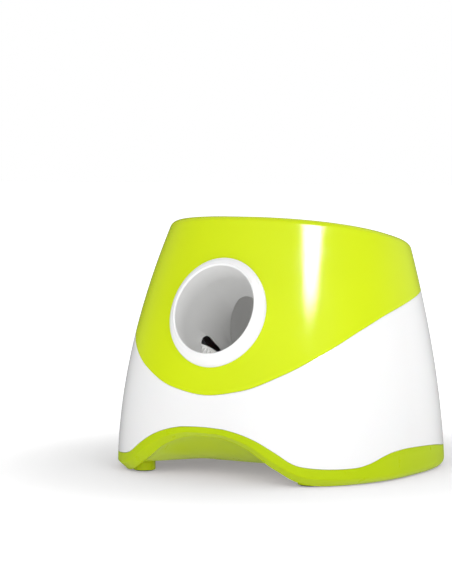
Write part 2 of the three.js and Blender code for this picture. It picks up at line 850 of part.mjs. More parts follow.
// Outside of the barrel, grown by a clearance where it cuts what stands round it
function barrelShape(play) {
  return turned([
    [0, cutOverrun], [socketRadius + tube.mouthWall + play, cutOverrun],
    [socketRadius + tube.mouthWall + play, -mouthDepth - 2 * muzzle.spigotGrip],
    [tube.boreRadius + tube.wall + play, -tube.taperEnd],
    [tube.boreRadius + tube.wall + play, -barrelEnd + tube.wall],
    [tube.boreRadius + play, -barrelEnd - play], [0, -barrelEnd - play],
  ], muzzleSteps);
}
const barrel = barrelShape(0);
const frontTrim = block(
  [-2 * tube.flangeRadius, -3 * tube.flangeRadius, 0],
  [2 * tube.flangeRadius, 3 * tube.flangeRadius, 6 * cutOverrun],
);
frontTrim.rotateX(shearAngle).translate(0, 0, -mouthDepth);
const bore = turned([
  [0, cutOverrun], [tube.mouthRadius, cutOverrun], [tube.mouthRadius, -mouthDepth - 2 * muzzle.spigotGrip],
  [tube.boreRadius, -tube.taperEnd], [tube.boreRadius, -tube.boreLength + tube.wall],
  [tube.boreRadius - tube.wall, -tube.boreLength], [0, -tube.boreLength],
], muzzleSteps);
const socket = sheared(cylinder(socketRadius, 2 * cutOverrun, muzzleSteps,
  -mouthDepth - muzzle.spigotGrip - seatGap));
const inletInward = (inlet.y - muzzleCentre.y) / Math.cos(THREE.MathUtils.degToRad(launch.elevation));
const inletFoot = launchPoint(0, 0, inletInward).z;
const collar = cylinder(inlet.radius + inlet.wall, inlet.top - inletFoot - tube.wall, muzzleSteps,
  inletFoot + tube.wall);
const inletHole = cylinder(inlet.radius, inlet.top - inletFoot + cutOverrun, muzzleSteps, inletFoot);
for (const upright of [collar, inletHole]) {
  upright.translate(0, inlet.y, 0).applyMatrix4(toLaunch);
}

const wheelX = wheel.nip / 2 + wheel.radius;
const slotChord = Math.sqrt(wheel.radius ** 2 - (wheelX - tube.boreRadius - tube.wall / 2) ** 2);
const slotLong = 2 * (slotChord + slot.sideClearance);
const slotTall = slot.topRise + slot.bottomDrop;
const sideSlot = extruded(roundedOutline(slotLong, slotTall, slot.cornerRadius),
  4 * tube.boreRadius, -2 * tube.boreRadius);
sideSlot.rotateY(Math.PI / 2);
sideSlot.translate(0, slot.topRise - slotTall / 2, -wheel.inward);
const armSlot = block(
  [-feedSlot.width / 2, -feed.pivotDrop, -barrelEnd - cutOverrun],
  [feedSlot.width / 2, feedSlot.top, -feedSlot.start],
);
const leverSlot = block(
  [lever.x - lever.width / 2 - 2 * seatGap, -lever.pivotDrop - cutOverrun, -lever.tipInward - tube.wall],
  [lever.x + lever.width / 2 + 2 * seatGap, -tube.boreRadius / 2, -lever.pivotInward + tube.wall],
);
// Two rails under the barrel hold the ball switch and the axle of its lever
const railInner = ballSwitch.width / 2 + seatGap;
const railOuter = railInner + ballSwitch.railWall;
const switchDrop = lever.pivotDrop + lever.hubRadius + seatGap;
const rails = [-1, 1].map((side) => block(
  [lever.x + Math.min(side * railInner, side * railOuter), -switchDrop - ballSwitch.depth,
    -lever.pivotInward - ballSwitch.length],
  [lever.x + Math.max(side * railInner, side * railOuter), -tube.boreRadius + tube.wall * 2,
    -lever.pivotInward + lever.hubRadius + ballSwitch.railEnd],
));
const axleHole = cylinder(lever.axleRadius + seatGap, 4 * railOuter, 12, -2 * railOuter);
axleHole.rotateY(Math.PI / 2).translate(lever.x, -lever.pivotDrop, -lever.pivotInward);
let barrelSolid = toSolid(barrel).subtract(toSolid(frontTrim)).add(toSolid(flange)).add(toSolid(collar));
barrelSolid = barrelSolid.add(toSolid(rails[0])).add(toSolid(rails[1]));
barrelSolid = cut(barrelSolid, bore, socket, inletHole, sideSlot, armSlot, leverSlot, axleHole);
addPiece('launch_tube', barrelSolid, satinWhite, launchFrame);

// Wheel stations: hub, ribbed tyre, shaft, housing and motor, mirrored to each side
const wheelLow = -wheel.midDrop - wheel.width / 2;
const wheelHigh = -wheel.midDrop + wheel.width / 2;

function ribbedTyre() {
  const root = wheel.radius - wheel.ribHeight;
  const points = [];
  for (let rib = 0; rib < wheelRibs; rib += 1) {
    const pitch = 2 * Math.PI / wheelRibs;
    const corners = [[root, -0.5], [wheel.radius, -0.2], [wheel.radius, 0.2]];
    for (const [radius, share] of corners) {
      const turn = (rib + share) * pitch;
      points.push([radius * Math.cos(turn), radius * Math.sin(turn)]);
    }
  }
  const ribbed = extruded(outlineFrom(points), wheel.ribTread, -wheel.ribTread / 2);
  const shoulder = cylinder(root + seatGap / 2, wheel.width, wheelRibs, -wheel.width / 2);
  const hole = cylinder(wheel.hubRadius + seatGap, wheel.width + cutOverrun, hubSteps,
    -(wheel.width + cutOverrun) / 2);
  return cut(join(ribbed, shoulder), hole);
}

function wheelHub() {
  const half = wheel.width / 2 - wheel.hubInset;
  const web = half - wheel.webWall;
  const inner = wheel.hubRadius - wheel.rimWall;
  const bossHole = wheel.shaftRadius + seatGap;
  return turned([
    [bossHole, -half], [wheel.bossRadius, -half], [wheel.bossRadius, web], [inner, web], [inner, -half],
    [wheel.hubRadius, -half], [wheel.hubRadius, half], [bossHole, half], [bossHole, -half],
  ], hubSteps);
}

// Spin axis of a wheel station: local Z of the station is the launch frame's Y
function stationGroup(side) {
  const group = new THREE.Group();
  group.position.set(side * wheelX, 0, -wheel.inward);
  group.rotation.x = -Math.PI / 2;
  launchFrame.add(group);
  return group;
}

const housingInner = wheel.radius + housing.clearance;
const housingOuter = housingInner + housing.wall;
const housingFloor = wheelLow - housing.clearance;
const housingRoof = wheelHigh + housing.clearance;
const motorTop = housingFloor - housing.wall - seatGap;
const motorEnd = motorTop - motor.length;

function wheelHousing(side) {
  const tall = housingRoof - housingFloor + 2 * housing.wall;
  const body = cylinder(housingOuter, tall, 32, housingFloor - housing.wall);
  const hollow = cylinder(housingInner, housingRoof - housingFloor, 32, housingFloor);
  const shaftHole = cylinder(motor.bossRadius + seatGap, 2 * cutOverrun, 16, housingFloor - cutOverrun);
  const tubeSpace = barrelShape(seatGap).translate(-side * wheelX, 0, wheel.inward);
  tubeSpace.rotateX(Math.PI / 2);
  const farSide = block(
    [-side * wheelX - tube.boreRadius, -2 * tube.boreRadius, -2 * tube.boreRadius],
    [-side * wheelX + tube.boreRadius, 2 * tube.boreRadius, 2 * tube.boreRadius],
  );
  farSide.translate(-side * tube.wall * 4, 0, 0);
  return cut(toSolid(body), hollow, shaftHole, tubeSpace, farSide);
}

for (const [name, side] of [['left', -1], ['right', 1]]) {
  const station = stationGroup(side);
  const middle = -wheel.midDrop;
  const tyre = toGeometry(ribbedTyre()).translate(0, 0, middle);
  addPiece(`${name}_wheel_tyre`, toSolid(tyre), grey, station);
  addPiece(`${name}_wheel_hub`, wheelHub().translate(0, 0, middle), satinWhite, station);
  const shaftLow = motorTop - motor.shaftDepth + motor.shaftPlay;
  const shaftLong = wheelHigh - wheel.shaftInset - shaftLow;
  addPiece(`${name}_wheel_shaft`, cylinder(wheel.shaftRadius, shaftLong, 14, shaftLow), steel, station);
  addPiece(`${name}_wheel_housing`, wheelHousing(side), satinWhite, station);
  const can = turned([
    [0, motorTop - motor.shaftDepth], [wheel.shaftRadius + seatGap, motorTop - motor.shaftDepth],
    [wheel.shaftRadius + seatGap, motorTop + motor.bossHeight],
    [motor.bossRadius, motorTop + motor.bossHeight],
    [motor.bossRadius, motorTop], [motor.radius - motor.chamfer, motorTop],
    [motor.radius, motorTop - motor.chamfer], [motor.radius, motorEnd], [motor.tailRadius, motorEnd],
    [motor.tailRadius, motorEnd - motor.tailHeight], [0, motorEnd - motor.tailHeight],
  ], 16);
  addPiece(`${name}_wheel_motor`, can, steel, station);
}

// Involute gear outline in whole teeth, centred on the X axis with a tooth there
function toothFlank(teeth, radius) {
  const pitchRadius = feed.toothModule * teeth / 2;
  const contact = THREE.MathUtils.degToRad(pressureAngle);
  const baseRadius = pitchRadius * Math.cos(contact);
  const involute = (angle) => Math.tan(angle) - angle;
  const here = radius > baseRadius ? Math.acos(baseRadius / radius) : 0;
  return Math.PI / 2 / teeth * toothFillShare + involute(contact) - involute(here);
}

function gearPoints(teeth, first, last) {
  const pitchRadius = feed.toothModule * teeth / 2;
  const root = pitchRadius - 1.2 * feed.toothModule;
  const levels = [0, 0.95].map((share) => pitchRadius + share * feed.toothModule);
  const points = [];
  for (let tooth = first; tooth <= last; tooth += 1) {
    const middle = tooth * 2 * Math.PI / teeth;
    const place = (radius, turn) => {
      points.push([radius * Math.cos(middle + turn), radius * Math.sin(middle + turn)]);
    };
    place(root, -Math.PI / teeth);
    place(root, -toothFlank(teeth, root));
    levels.forEach((radius) => place(radius, -toothFlank(teeth, radius)));
    levels.slice().reverse().forEach((radius) => place(radius, toothFlank(teeth, radius)));
    place(root, toothFlank(teeth, root));
  }
  return points;
}

// Side-view frame of the feed: local X is +Y of the launcher, local Y is up, and local Z is +X
const head = launchPoint(0, -feed.headDrop, feed.headInward);
const sideView = new THREE.Matrix4().makeBasis(
  new THREE.Vector3(0, 1, 0),
  new THREE.Vector3(0, 0, 1),
  new THREE.Vector3(1, 0, 0),
);
const feedFrame = new THREE.Group();
feedFrame.position.copy(pivot);
feedFrame.quaternion.setFromRotationMatrix(sideView);
launcher.add(feedFrame);

const toothStep = 360 / sectorTeeth;
const reach = new THREE.Vector2(head.y - pivot.y, head.z - pivot.z);
const half = feed.thickness / 2;

const arm = block([0, -feed.armWidth / 2, -half], [reach.length(), feed.armWidth / 2, half]);
arm.rotateZ(reach.angle());
const armHead = cylinder(feed.headRadius, feed.thickness, 20, -half).translate(reach.x, reach.y, 0);
const armHub = cylinder(feed.hubRadius, feed.thickness, 24, -half);
const sectorPoints = [[0, 0], ...gearPoints(sectorTeeth, sectorFirstTooth, sectorLastTooth)];
const sector = extruded(outlineFrom(sectorPoints), feed.thickness, -half);
sector.rotateZ(THREE.MathUtils.degToRad(toothStep / 2));
const armHole = cylinder(feed.pinRadius + seatGap, feed.thickness + cutOverrun, 20, -half - cutOverrun / 2);
addPiece('feed_arm', cut(join(arm, armHead, armHub, sector), armHole), grey, feedFrame);

const cheekInner = half + bracket.cheekGap;
const cheekOuter = cheekInner + bracket.cheekWall;
const pinHalf = cheekOuter + bracket.pinOverhang;
addPiece('feed_pin', cylinder(feed.pinRadius, 2 * pinHalf, 16, -pinHalf), steel, feedFrame);

const boxInner = half + gearbox.setback;
const pinionBody = extruded(outlineFrom(gearPoints(pinionTeeth, 0, pinionTeeth - 1)), feed.thickness, -half);
const pinionShaftLong = half + boxInner + gearbox.shaftDepth - gearbox.shaftPlay;
const pinionShaft = cylinder(pinionShaftRadius, pinionShaftLong, 16, -half);
const pinion = toGeometry(join(pinionBody, pinionShaft)).rotateZ(Math.PI).translate(pinionX, 0, 0);
addPiece('feed_pinion', toSolid(pinion), satinWhite, feedFrame);

const boxOutline = roundedOutline(gearbox.depth, gearbox.height, gearbox.corner);
const boxY = gearbox.height / 2 - gearbox.drop;
const gearboxBody = extruded(boxOutline, gearbox.width, boxInner, 3).translate(boxX, boxY, 0);
const gearboxHole = cylinder(pinionShaftRadius + seatGap, 2 * gearbox.shaftDepth, 16,
  boxInner - gearbox.shaftDepth);
const gearboxSolid = cut(toSolid(gearboxBody), gearboxHole.translate(pinionX, 0, 0));
addPiece('feed_gearbox', gearboxSolid, darkGrey, feedFrame);

const motorInner = boxInner + gearbox.width + seatGap;
const feedCan = turned([
  [0, motorInner], [feedMotor.radius, motorInner], [feedMotor.radius, motorInner + feedMotor.length],
  [feedMotor.tailRadius, motorInner + feedMotor.length],
  [feedMotor.tailRadius, motorInner + feedMotor.length + feedMotor.tailLength],
  [0, motorInner + feedMotor.length + feedMotor.tailLength],
], 20);
addPiece('feed_motor', feedCan.translate(boxX, boxY, 0), steel, feedFrame);

// Feed bracket: a foot plate on the belly, two cheeks for the pin and a seat for the gearbox
const plateLow = bellyTop + seatGap - pivot.z;
const plateHigh = plateLow + bracket.plate;
const cheekReach = bracket.cheekWidth / 2;
const pivotPlate = block(
  [-cheekReach, plateLow, -cheekOuter],
  [boxX, plateHigh, cheekOuter],
);
const boxPlate = block(
  [boxX - gearbox.depth / 2, plateLow, -cheekOuter],
  [boxX + gearbox.depth / 2, plateHigh, boxInner + gearbox.width],
);
const boxSeat = block(
  [boxX - gearbox.depth / 2 + gearbox.corner, plateLow, boxInner + bracket.seatInset],
  [boxX + gearbox.depth / 2 - gearbox.corner, boxY - gearbox.height / 2 - seatGap,
    boxInner + gearbox.width - bracket.seatInset],
);
function cheek(low) {
  const outline = new THREE.Shape();
  outline.moveTo(-cheekReach, plateLow);
  outline.lineTo(cheekReach, plateLow);
  outline.lineTo(feed.hubRadius, 0);
  outline.absarc(0, 0, feed.hubRadius, 0, Math.PI);
  outline.lineTo(-cheekReach, plateLow);
  return extruded(outline, bracket.cheekWall, low, 8);
}
const pinHole = cylinder(feed.pinRadius + seatGap, 4 * cheekOuter, 16, -2 * cheekOuter);
const bracketSolid = join(pivotPlate, boxPlate, boxSeat, cheek(cheekInner), cheek(-cheekOuter));
addPiece('feed_bracket', cut(bracketSolid, pinHole), satinWhite, feedFrame);

// Stays: two posts from the belly to the underside of the tube
const stayY = muzzleCentre.y + stay.setback;
for (const [name, side] of [['left', -1], ['right', 1]]) {
  const post = block(
    [side * stay.x - stay.width / 2, stayY - stay.depth / 2, bellyTop + seatGap],
    [side * stay.x + stay.width / 2, stayY + stay.depth / 2, inletFoot],
  );
  const around = barrelShape(seatGap).applyMatrix4(toWorld);
  const above = block(
    [-casing.halfWidth, -casing.front, launchPoint(0, 0, inletInward).z - tube.wall * 2],
    [casing.halfWidth, casing.back, casing.height],
  );
  addPiece(`tube_stay_${name}`, cut(toSolid(post), around, above), satinWhite);
}

// Ball lever: a sprung blade that stands up through the tube floor, over its switch
const leverRun = lever.tipInward - lever.pivotInward;
const leverRise = lever.pivotDrop - lever.tipDrop;
const bladeLength = Math.hypot(leverRun, leverRise);
const leverFrame = new THREE.Group();
leverFrame.position.set(lever.x, -lever.pivotDrop, -lever.pivotInward);
leverFrame.rotation.y = Math.PI / 2;
launchFrame.add(leverFrame);
const blade = block([0, -lever.blade / 2, -lever.width / 2], [bladeLength, lever.blade / 2, lever.width / 2]);
blade.rotateZ(Math.atan2(leverRise, leverRun));
const leverHub = cylinder(lever.hubRadius, lever.width, 12, -lever.width / 2);
const leverTip = cylinder(lever.hubRadius, lever.width, 12, -lever.width / 2)
  .translate(leverRun, leverRise, 0);
const leverAxle = cylinder(lever.axleRadius, 2 * railOuter, 12, -railOuter);
addPiece('ball_lever', join(blade, leverHub, leverTip, leverAxle), nickel, leverFrame);

const switchTop = lever.pivotDrop - switchDrop;
const switchBody = block(
  [-lever.hubRadius, switchTop - ballSwitch.depth, -ballSwitch.width / 2],
  [ballSwitch.length, switchTop, ballSwitch.width / 2],
);
addPiece('ball_switch', switchBody, darkGrey, leverFrame);

// Hopper: a bowl under the rim that narrows to a round throat over the tube's inlet
function hopperPoint(angle, across, drop, shell) {
  const start = rimPoint(angle, rim.lipInset + hopper.gapToLip + shell, 0);
  const turn = THREE.MathUtils.degToRad(angle - 90);
  const radius = hopper.throatRadius + (shell > 0 ? 0 : hopper.wall);
  const end = new THREE.Vector3(
    radius * Math.cos(turn), inlet.y + radius * Math.sin(turn),
    hopper.floorHeight + (shell > 0 ? hopper.wall : 0),
  );
  return new THREE.Vector3(
    lerp(start.x, end.x, across), lerp(start.y, end.y, across), lerp(start.z, end.z, drop),
  );
}

function hopperSection(share) {
  const angle = 360 * share;
  const turn = THREE.MathUtils.degToRad(angle - 90);
  const ring = (radius, z) =>
    new THREE.Vector3(radius * Math.cos(turn), inlet.y + radius * Math.sin(turn), z);
  const inside = hopperShares.map(([across, drop]) => hopperPoint(angle, across, drop, hopper.wall));
  const outside = hopperShares.slice(1)
    .map(([across, drop]) => hopperPoint(angle, across, drop, 0))
    .reverse();
  const clampTop = rim.lipThickness + hopper.gapToLip;
  const clampLow = clampTop + hopper.wall;
  const spigotEnd = hopper.floorHeight - hopper.spigotLength;
  return [
    ...inside,
    ring(hopper.throatRadius, spigotEnd),
    ring(hopper.throatRadius + hopper.wall - seatGap, spigotEnd),
    ...outside,
    rimPoint(angle, rim.lipInset + hopper.gapToLip, clampLow),
    rimPoint(angle, rim.lipInset - hopper.clampWidth, clampLow),
    rimPoint(angle, rim.lipInset - hopper.clampWidth, clampTop),
    rimPoint(angle, rim.lipInset + hopper.gapToLip, clampTop),
    rimPoint(angle, rim.lipInset + hopper.gapToLip, 0),
  ];
}
addPiece('hopper', swept(hopperSection, hopperSteps, true), lime);

// Rear panel with its buttons, lenses and power inlet
const faceHeight = -panel.recess;
const panelPlate = extruded(
  roundedOutline(panel.width - 2 * seatGap, panel.tall - 2 * seatGap, panel.corner - seatGap),
  panel.wall, faceHeight - panel.wall,
);
const panelBack = faceHeight - panel.wall;
const boardTop = faceHeight - panel.wall - board.standoff;
let panelSolid = toSolid(panelPlate);
for (const side of [-1, 1]) {
  const post = cylinder(board.postRadius, board.standoff - seatGap + panel.wall / 2, 12, boardTop + seatGap);
  panelSolid = panelSolid.add(toSolid(post.translate(side * board.postX, -side * board.postY, 0)));
}
const drilled = [
  [buttonPlaces.powerX, button.radius], [buttonPlaces.levelX, button.smallRadius], [jack.x, jack.radius],
];
for (const [x, radius] of drilled) {
  const hole = cylinder(radius + seatGap, 2 * cutOverrun, 18, faceHeight - cutOverrun);
  panelSolid = cut(panelSolid, hole.translate(x, 0, 0));
}
const lensPlaces = [-1, 0, 1].map((step) => [lens.x, step * lens.pitch]);
for (const [x, y] of lensPlaces) {
  const hole = cylinder(lens.radius + seatGap, 2 * cutOverrun, 10, faceHeight - cutOverrun);
  panelSolid = cut(panelSolid, hole.translate(x, y, 0));
}
addPiece('control_panel', panelSolid, darkGrey, panelFrame);

function pushButton(radius) {
  return turned([
    [0, faceHeight - button.depth], [radius + button.flange, faceHeight - button.depth],
    [radius + button.flange, panelBack - seatGap], [radius, panelBack - seatGap],
    [radius, faceHeight + button.proud - button.edge], [radius - button.edge, faceHeight + button.proud],
    [0, faceHeight + button.proud],
  ], 18);
}
const powerButton = pushButton(button.radius).translate(buttonPlaces.powerX, 0, 0);
addPiece('power_button', powerButton, white, panelFrame);
const levelButton = pushButton(button.smallRadius).translate(buttonPlaces.levelX, 0, 0);
addPiece('level_button', levelButton, white, panelFrame);

lensPlaces.forEach(([x, y], place) => {
  const body = turned([
    [0, faceHeight - lens.depth], [lens.radius, faceHeight - lens.depth], [lens.radius, faceHeight],
    [lens.radius * 0.7, faceHeight + lens.proud], [0, faceHeight + lens.proud],
  ], 10);
  addPiece(`led_lens_${place + 1}`, body.translate(x, y, 0), clearLens, panelFrame);
});

const jackFloor = faceHeight - jack.depth + jack.floor;
const jackBody = turned([
  [0, faceHeight - jack.depth], [jack.radius, faceHeight - jack.depth], [jack.radius, faceHeight],
  [jack.bore, faceHeight], [jack.bore, jackFloor], [jack.pin, jackFloor],
  [jack.pin, faceHeight - jack.pinInset], [0, faceHeight - jack.pinInset],
], 12);
addPiece('power_inlet', jackBody.translate(jack.x, 0, 0), darkGrey, panelFrame);

const boardPlate = block(
  [-board.width / 2, -board.tall / 2, boardTop - board.wall],
  [board.width / 2, board.tall / 2, boardTop],
);
addPiece('circuit_board', boardPlate, green, panelFrame);
const buzzerCan = cylinder(buzzer.radius, buzzer.height, 20, boardTop - board.wall - seatGap - buzzer.height);
addPiece('buzzer', buzzerCan.translate(-buzzer.x, 0, 0), darkGrey, panelFrame);

export default launcher;
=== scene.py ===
"""Automatic ball launcher for dogs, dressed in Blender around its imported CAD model.

Sizes are millimetres in the launcher's own frame: +Z is up, -Y is the front, where the muzzle is,
and the origin is the bottom centre. They turn into metres where a mesh is made.
"""

import json
import logging
import math
from abc import ABC, abstractmethod
from dataclasses import dataclass, field
from enum import Enum
from typing import Sequence

import bmesh
import bpy
import numpy as np
from mathutils import Matrix, Vector


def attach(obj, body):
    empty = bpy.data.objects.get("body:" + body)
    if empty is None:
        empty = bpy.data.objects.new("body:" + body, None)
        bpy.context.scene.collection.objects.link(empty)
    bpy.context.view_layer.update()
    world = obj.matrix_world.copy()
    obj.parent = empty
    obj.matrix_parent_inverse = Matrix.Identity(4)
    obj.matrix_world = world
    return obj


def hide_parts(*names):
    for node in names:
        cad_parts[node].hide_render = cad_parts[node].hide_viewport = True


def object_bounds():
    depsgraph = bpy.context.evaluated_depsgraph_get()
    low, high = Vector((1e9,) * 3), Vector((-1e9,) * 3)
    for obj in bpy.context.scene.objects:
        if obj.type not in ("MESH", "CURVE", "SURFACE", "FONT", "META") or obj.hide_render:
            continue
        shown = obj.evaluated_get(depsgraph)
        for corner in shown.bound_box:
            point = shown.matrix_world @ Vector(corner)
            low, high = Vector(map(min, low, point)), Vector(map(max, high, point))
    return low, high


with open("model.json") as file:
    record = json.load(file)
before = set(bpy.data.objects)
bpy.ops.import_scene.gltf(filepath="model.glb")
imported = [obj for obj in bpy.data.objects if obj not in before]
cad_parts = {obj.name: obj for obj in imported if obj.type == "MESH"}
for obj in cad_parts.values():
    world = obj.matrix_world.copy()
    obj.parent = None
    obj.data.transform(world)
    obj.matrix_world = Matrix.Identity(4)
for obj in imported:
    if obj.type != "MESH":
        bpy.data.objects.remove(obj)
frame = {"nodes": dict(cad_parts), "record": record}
CAD_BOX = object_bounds()
LOG = logging.getLogger("ball_launcher")

Piece = bpy.types.Object
Tree = bpy.types.NodeTree
Socket = bpy.types.NodeSocket
Pair = tuple[float, float]

# One millimetre in metres
MM = 0.001
# Gap between two pieces that seat on each other
SEAT_GAP = 0.3
# How far a cutter passes what it cuts
OVERRUN = 20.0
# Points closer than this become one
WELD = 0.002
# Middle of a quarter-round edge, as a share of its radius
ROUND_SHARE = 0.3
# Edges sharper than this are rounded where a piece is softened
SHARP_DEG = 40.0
# Faces that meet at more than this keep a crease, on new pieces and on those of the CAD model
CREASE_DEG = 34.0
CAD_CREASE_DEG = 25.0
# Nearly all of a noise pattern lies between these
NOISE_SPAN = (0.3, 0.7)
# A ramp that starts and ends softly
SMOOTH = {"interpolation_type": "SMOOTHSTEP"}


class Cut(Enum):
    """What a second solid does to the first."""

    JOIN = "UNION"
    CARVE = "DIFFERENCE"
    KEEP = "INTERSECT"


class Side(Enum):
    """The two sides of the launcher, as signs along X."""

    LEFT = -1
    RIGHT = 1


# Colour and finishes


def srgb(code: str) -> tuple[float, float, float, float]:
    """Turns an sRGB hex colour into linear values.

    Args:
        code: Six hex digits after a hash sign.

    Returns:
        Linear red, green and blue, and full alpha.
    """
    parts = [int(code[place : place + 2], 16) / 255 for place in (1, 3, 5)]
    linear = [part / 12.92 if part <= 0.04045 else ((part + 0.055) / 1.055) ** 2.4 for part in parts]
    return (*linear, 1.0)


def add_node(
    tree: Tree, kind: str, settings: dict | None = None, inputs: dict | None = None,
) -> bpy.types.Node:
    """Adds one shader node with its settings and links.

    Args:
        tree: The material's node tree.
        kind: Blender's name of the node type.
        settings: Attributes of the node itself.
        inputs: Socket name or number to a value, or to the output socket that feeds it.

    Returns:
        The new node.
    """
    node = tree.nodes.new(kind)
    for name, value in (settings or {}).items():
        setattr(node, name, value)
    for key, value in (inputs or {}).items():
        if isinstance(value, Socket):
            tree.links.new(value, node.inputs[key])
        else:
            node.inputs[key].default_value = value
    return node


@dataclass(frozen=True)
class Canvas:
    """The node tree of a material in the making, and where on the piece each of its points lies."""

    tree: Tree
    place: Socket

    def patches(self, width_mm: float, levels: Pair, detail: float = 2.0) -> Socket:
        """Makes a value that drifts between two levels in patches.

        Args:
            width_mm: About how wide a patch is.
            levels: The value at both ends of the pattern.
            detail: How many finer patterns lie over it.

        Returns:
            The drifting value.
        """
        inputs = {"Vector": self.place, "Scale": 1 / (width_mm * MM), "Detail": detail}
        pattern = add_node(self.tree, "ShaderNodeTexNoise", None, inputs).outputs["Fac"]
        inputs = {"Value": pattern, "From Min": NOISE_SPAN[0], "From Max": NOISE_SPAN[1]}
        inputs.update({"To Min": levels[0], "To Max": levels[1]})
        return add_node(self.tree, "ShaderNodeMapRange", None, inputs).outputs["Result"]

    def drift(self, width_mm: float, colours: tuple[str, str], detail: float) -> Socket:
        """Makes a colour that drifts between two in patches.

        Args:
            width_mm: About how wide a patch is.
            colours: Both colours, in sRGB hex.
            detail: How many finer patterns lie over it.

        Returns:
            The drifting colour.
        """
        share = self.patches(width_mm, (0.0, 1.0), detail)
        inputs = {"Factor": share, "A": srgb(colours[0]), "B": srgb(colours[1])}
        return add_node(self.tree, "ShaderNodeMix", {"data_type": "RGBA"}, inputs).outputs["Result"]

    def grain(self, width_mm: float, lift_mm: float, detail: float) -> Socket:
        """Makes a fine grain that stands off the skin.

        Args:
            width_mm: About how wide a grain is.
            lift_mm: How far it stands off.
            detail: How many finer grains lie over it.

        Returns:
            The normals of the grained skin.
        """
        inputs = {"Vector": self.place, "Scale": 1 / (width_mm * MM), "Detail": detail}
        pattern = add_node(self.tree, "ShaderNodeTexNoise", None, inputs).outputs["Fac"]
        inputs = {"Distance": lift_mm * MM, "Height": pattern}
        return add_node(self.tree, "ShaderNodeBump", None, inputs).outputs["Normal"]


@dataclass(frozen=True)
class Finish(ABC):
    """What a piece is made of and how its surface was made."""

    name: str
    colour: str

    @abstractmethod
    def surface(self, canvas: Canvas) -> dict[str, object]:
        """The skin, which each kind of finish makes in its own way.

        Args:
            canvas: The material in the making.

        Returns:
            Values or sockets, by the name of the shader's input.
        """

    def build(self) -> bpy.types.Material:
        """Returns the material."""
        material = bpy.data.materials.new(self.name)
        material.use_nodes = True
        tree = material.node_tree
        tree.nodes.clear()
        place = add_node(tree, "ShaderNodeTexCoord").outputs["Object"]
        shader = add_node(tree, "ShaderNodeBsdfPrincipled", None, self.surface(Canvas(tree, place)))
        add_node(tree, "ShaderNodeOutputMaterial", None, {"Surface": shader.outputs["BSDF"]})
        return material


@dataclass(frozen=True)
class MouldedAbs(Finish):
    """Injection-moulded ABS: one colour all through, with a faint ripple from the polished mould.

    The bounce is the colour that it throws on what lies beside it, which the studio keeps neutral.
    """

    drift: str
    roughness: float
    ripple_mm: float
    ripple_lift_mm: float
    ior: float = 1.53
    flow_mm: float = 85.0
    handled_mm: float = 14.0
    wear: float = 0.03
    glow: float = 0.0
    glow_mm: float = 2.0
    bounce: str = ""
    specular: float = 0.5

    def surface(self, canvas: Canvas) -> dict[str, object]:
        """Slow colour drift from the melt's flow, patchy gloss from handling, and a fine ripple.

        Args:
            canvas: The material in the making.

        Returns:
            Values or sockets, by the name of the shader's input.
        """
        colour = canvas.drift(self.flow_mm, (self.colour, self.drift), 1.0)
        if self.bounce:
            path = add_node(canvas.tree, "ShaderNodeLightPath")
            inputs = {"Factor": path.outputs["Is Diffuse Ray"], "A": colour, "B": srgb(self.bounce)}
            colour = add_node(canvas.tree, "ShaderNodeMix", {"data_type": "RGBA"}, inputs).outputs["Result"]
        gloss = (self.roughness - self.wear, self.roughness + self.wear)
        return {
            "Base Color": colour, "Roughness": canvas.patches(self.handled_mm, gloss, 4.0),
            "Normal": canvas.grain(self.ripple_mm, self.ripple_lift_mm, 3.0),
            "IOR": self.ior, "Specular IOR Level": self.specular,
            "Subsurface Weight": self.glow, "Subsurface Scale": self.glow_mm * MM,
        }


@dataclass(frozen=True)
class PlatedSteel(Finish):
    """Steel wire and sheet with a thin plated skin: fine drawing lines along one axis."""

    roughness: float
    line_mm: float
    line_lift_mm: float = 0.01
    stretch: float = 0.05
    wear: float = 0.08

    def surface(self, canvas: Canvas) -> dict[str, object]:
        """A metal with stretched noise for its drawing lines.

        Args:
            canvas: The material in the making.

        Returns:
            Values or sockets, by the name of the shader's input.
        """
        inputs = {"Vector": canvas.place, "Scale": (1.0, 1.0, self.stretch)}
        along = add_node(canvas.tree, "ShaderNodeMapping", None, inputs).outputs["Vector"]
        drawn = Canvas(canvas.tree, along)
        gloss = (self.roughness - self.wear, self.roughness + self.wear)
        return {
            "Base Color": srgb(self.colour), "Metallic": 1.0,
            "Roughness": drawn.patches(self.line_mm, gloss, 4.0),
            "Normal": drawn.grain(self.line_mm, self.line_lift_mm, 4.0),
        }


@dataclass(frozen=True)
class MouldedRubber(Finish):
    """Moulded elastomer: dull, with a talc bloom in patches and a fine cast grain."""

    bloom: str
    roughness: float
    grain_mm: float
    grain_lift_mm: float = 0.03
    bloom_mm: float = 9.0

    def surface(self, canvas: Canvas) -> dict[str, object]:
        """Bloom patches over a grained, dull skin.

        Args:
            canvas: The material in the making.

        Returns:
            Values or sockets, by the name of the shader's input.
        """
        return {
            "Base Color": canvas.drift(self.bloom_mm, (self.colour, self.bloom), 5.0),
            "Roughness": self.roughness, "Normal": canvas.grain(self.grain_mm, self.grain_lift_mm, 2.0),
            "IOR": 1.5, "Sheen Weight": 0.15, "Sheen Roughness": 0.5,
        }


@dataclass(frozen=True)
class ClearLens(Finish):
    """Clear polycarbonate light guide over a lamp that is off: faintly tinted, smooth, a little hazy."""

    haze_mm: float
    haze: Pair = (0.06, 0.2)

    def surface(self, canvas: Canvas) -> dict[str, object]:
        """A glassy plastic with a slight haze pattern."""
        haze = canvas.patches(self.haze_mm, self.haze)
        return {"Base Color": srgb(self.colour), "Roughness": haze, "IOR": 1.58, "Transmission Weight": 0.35}


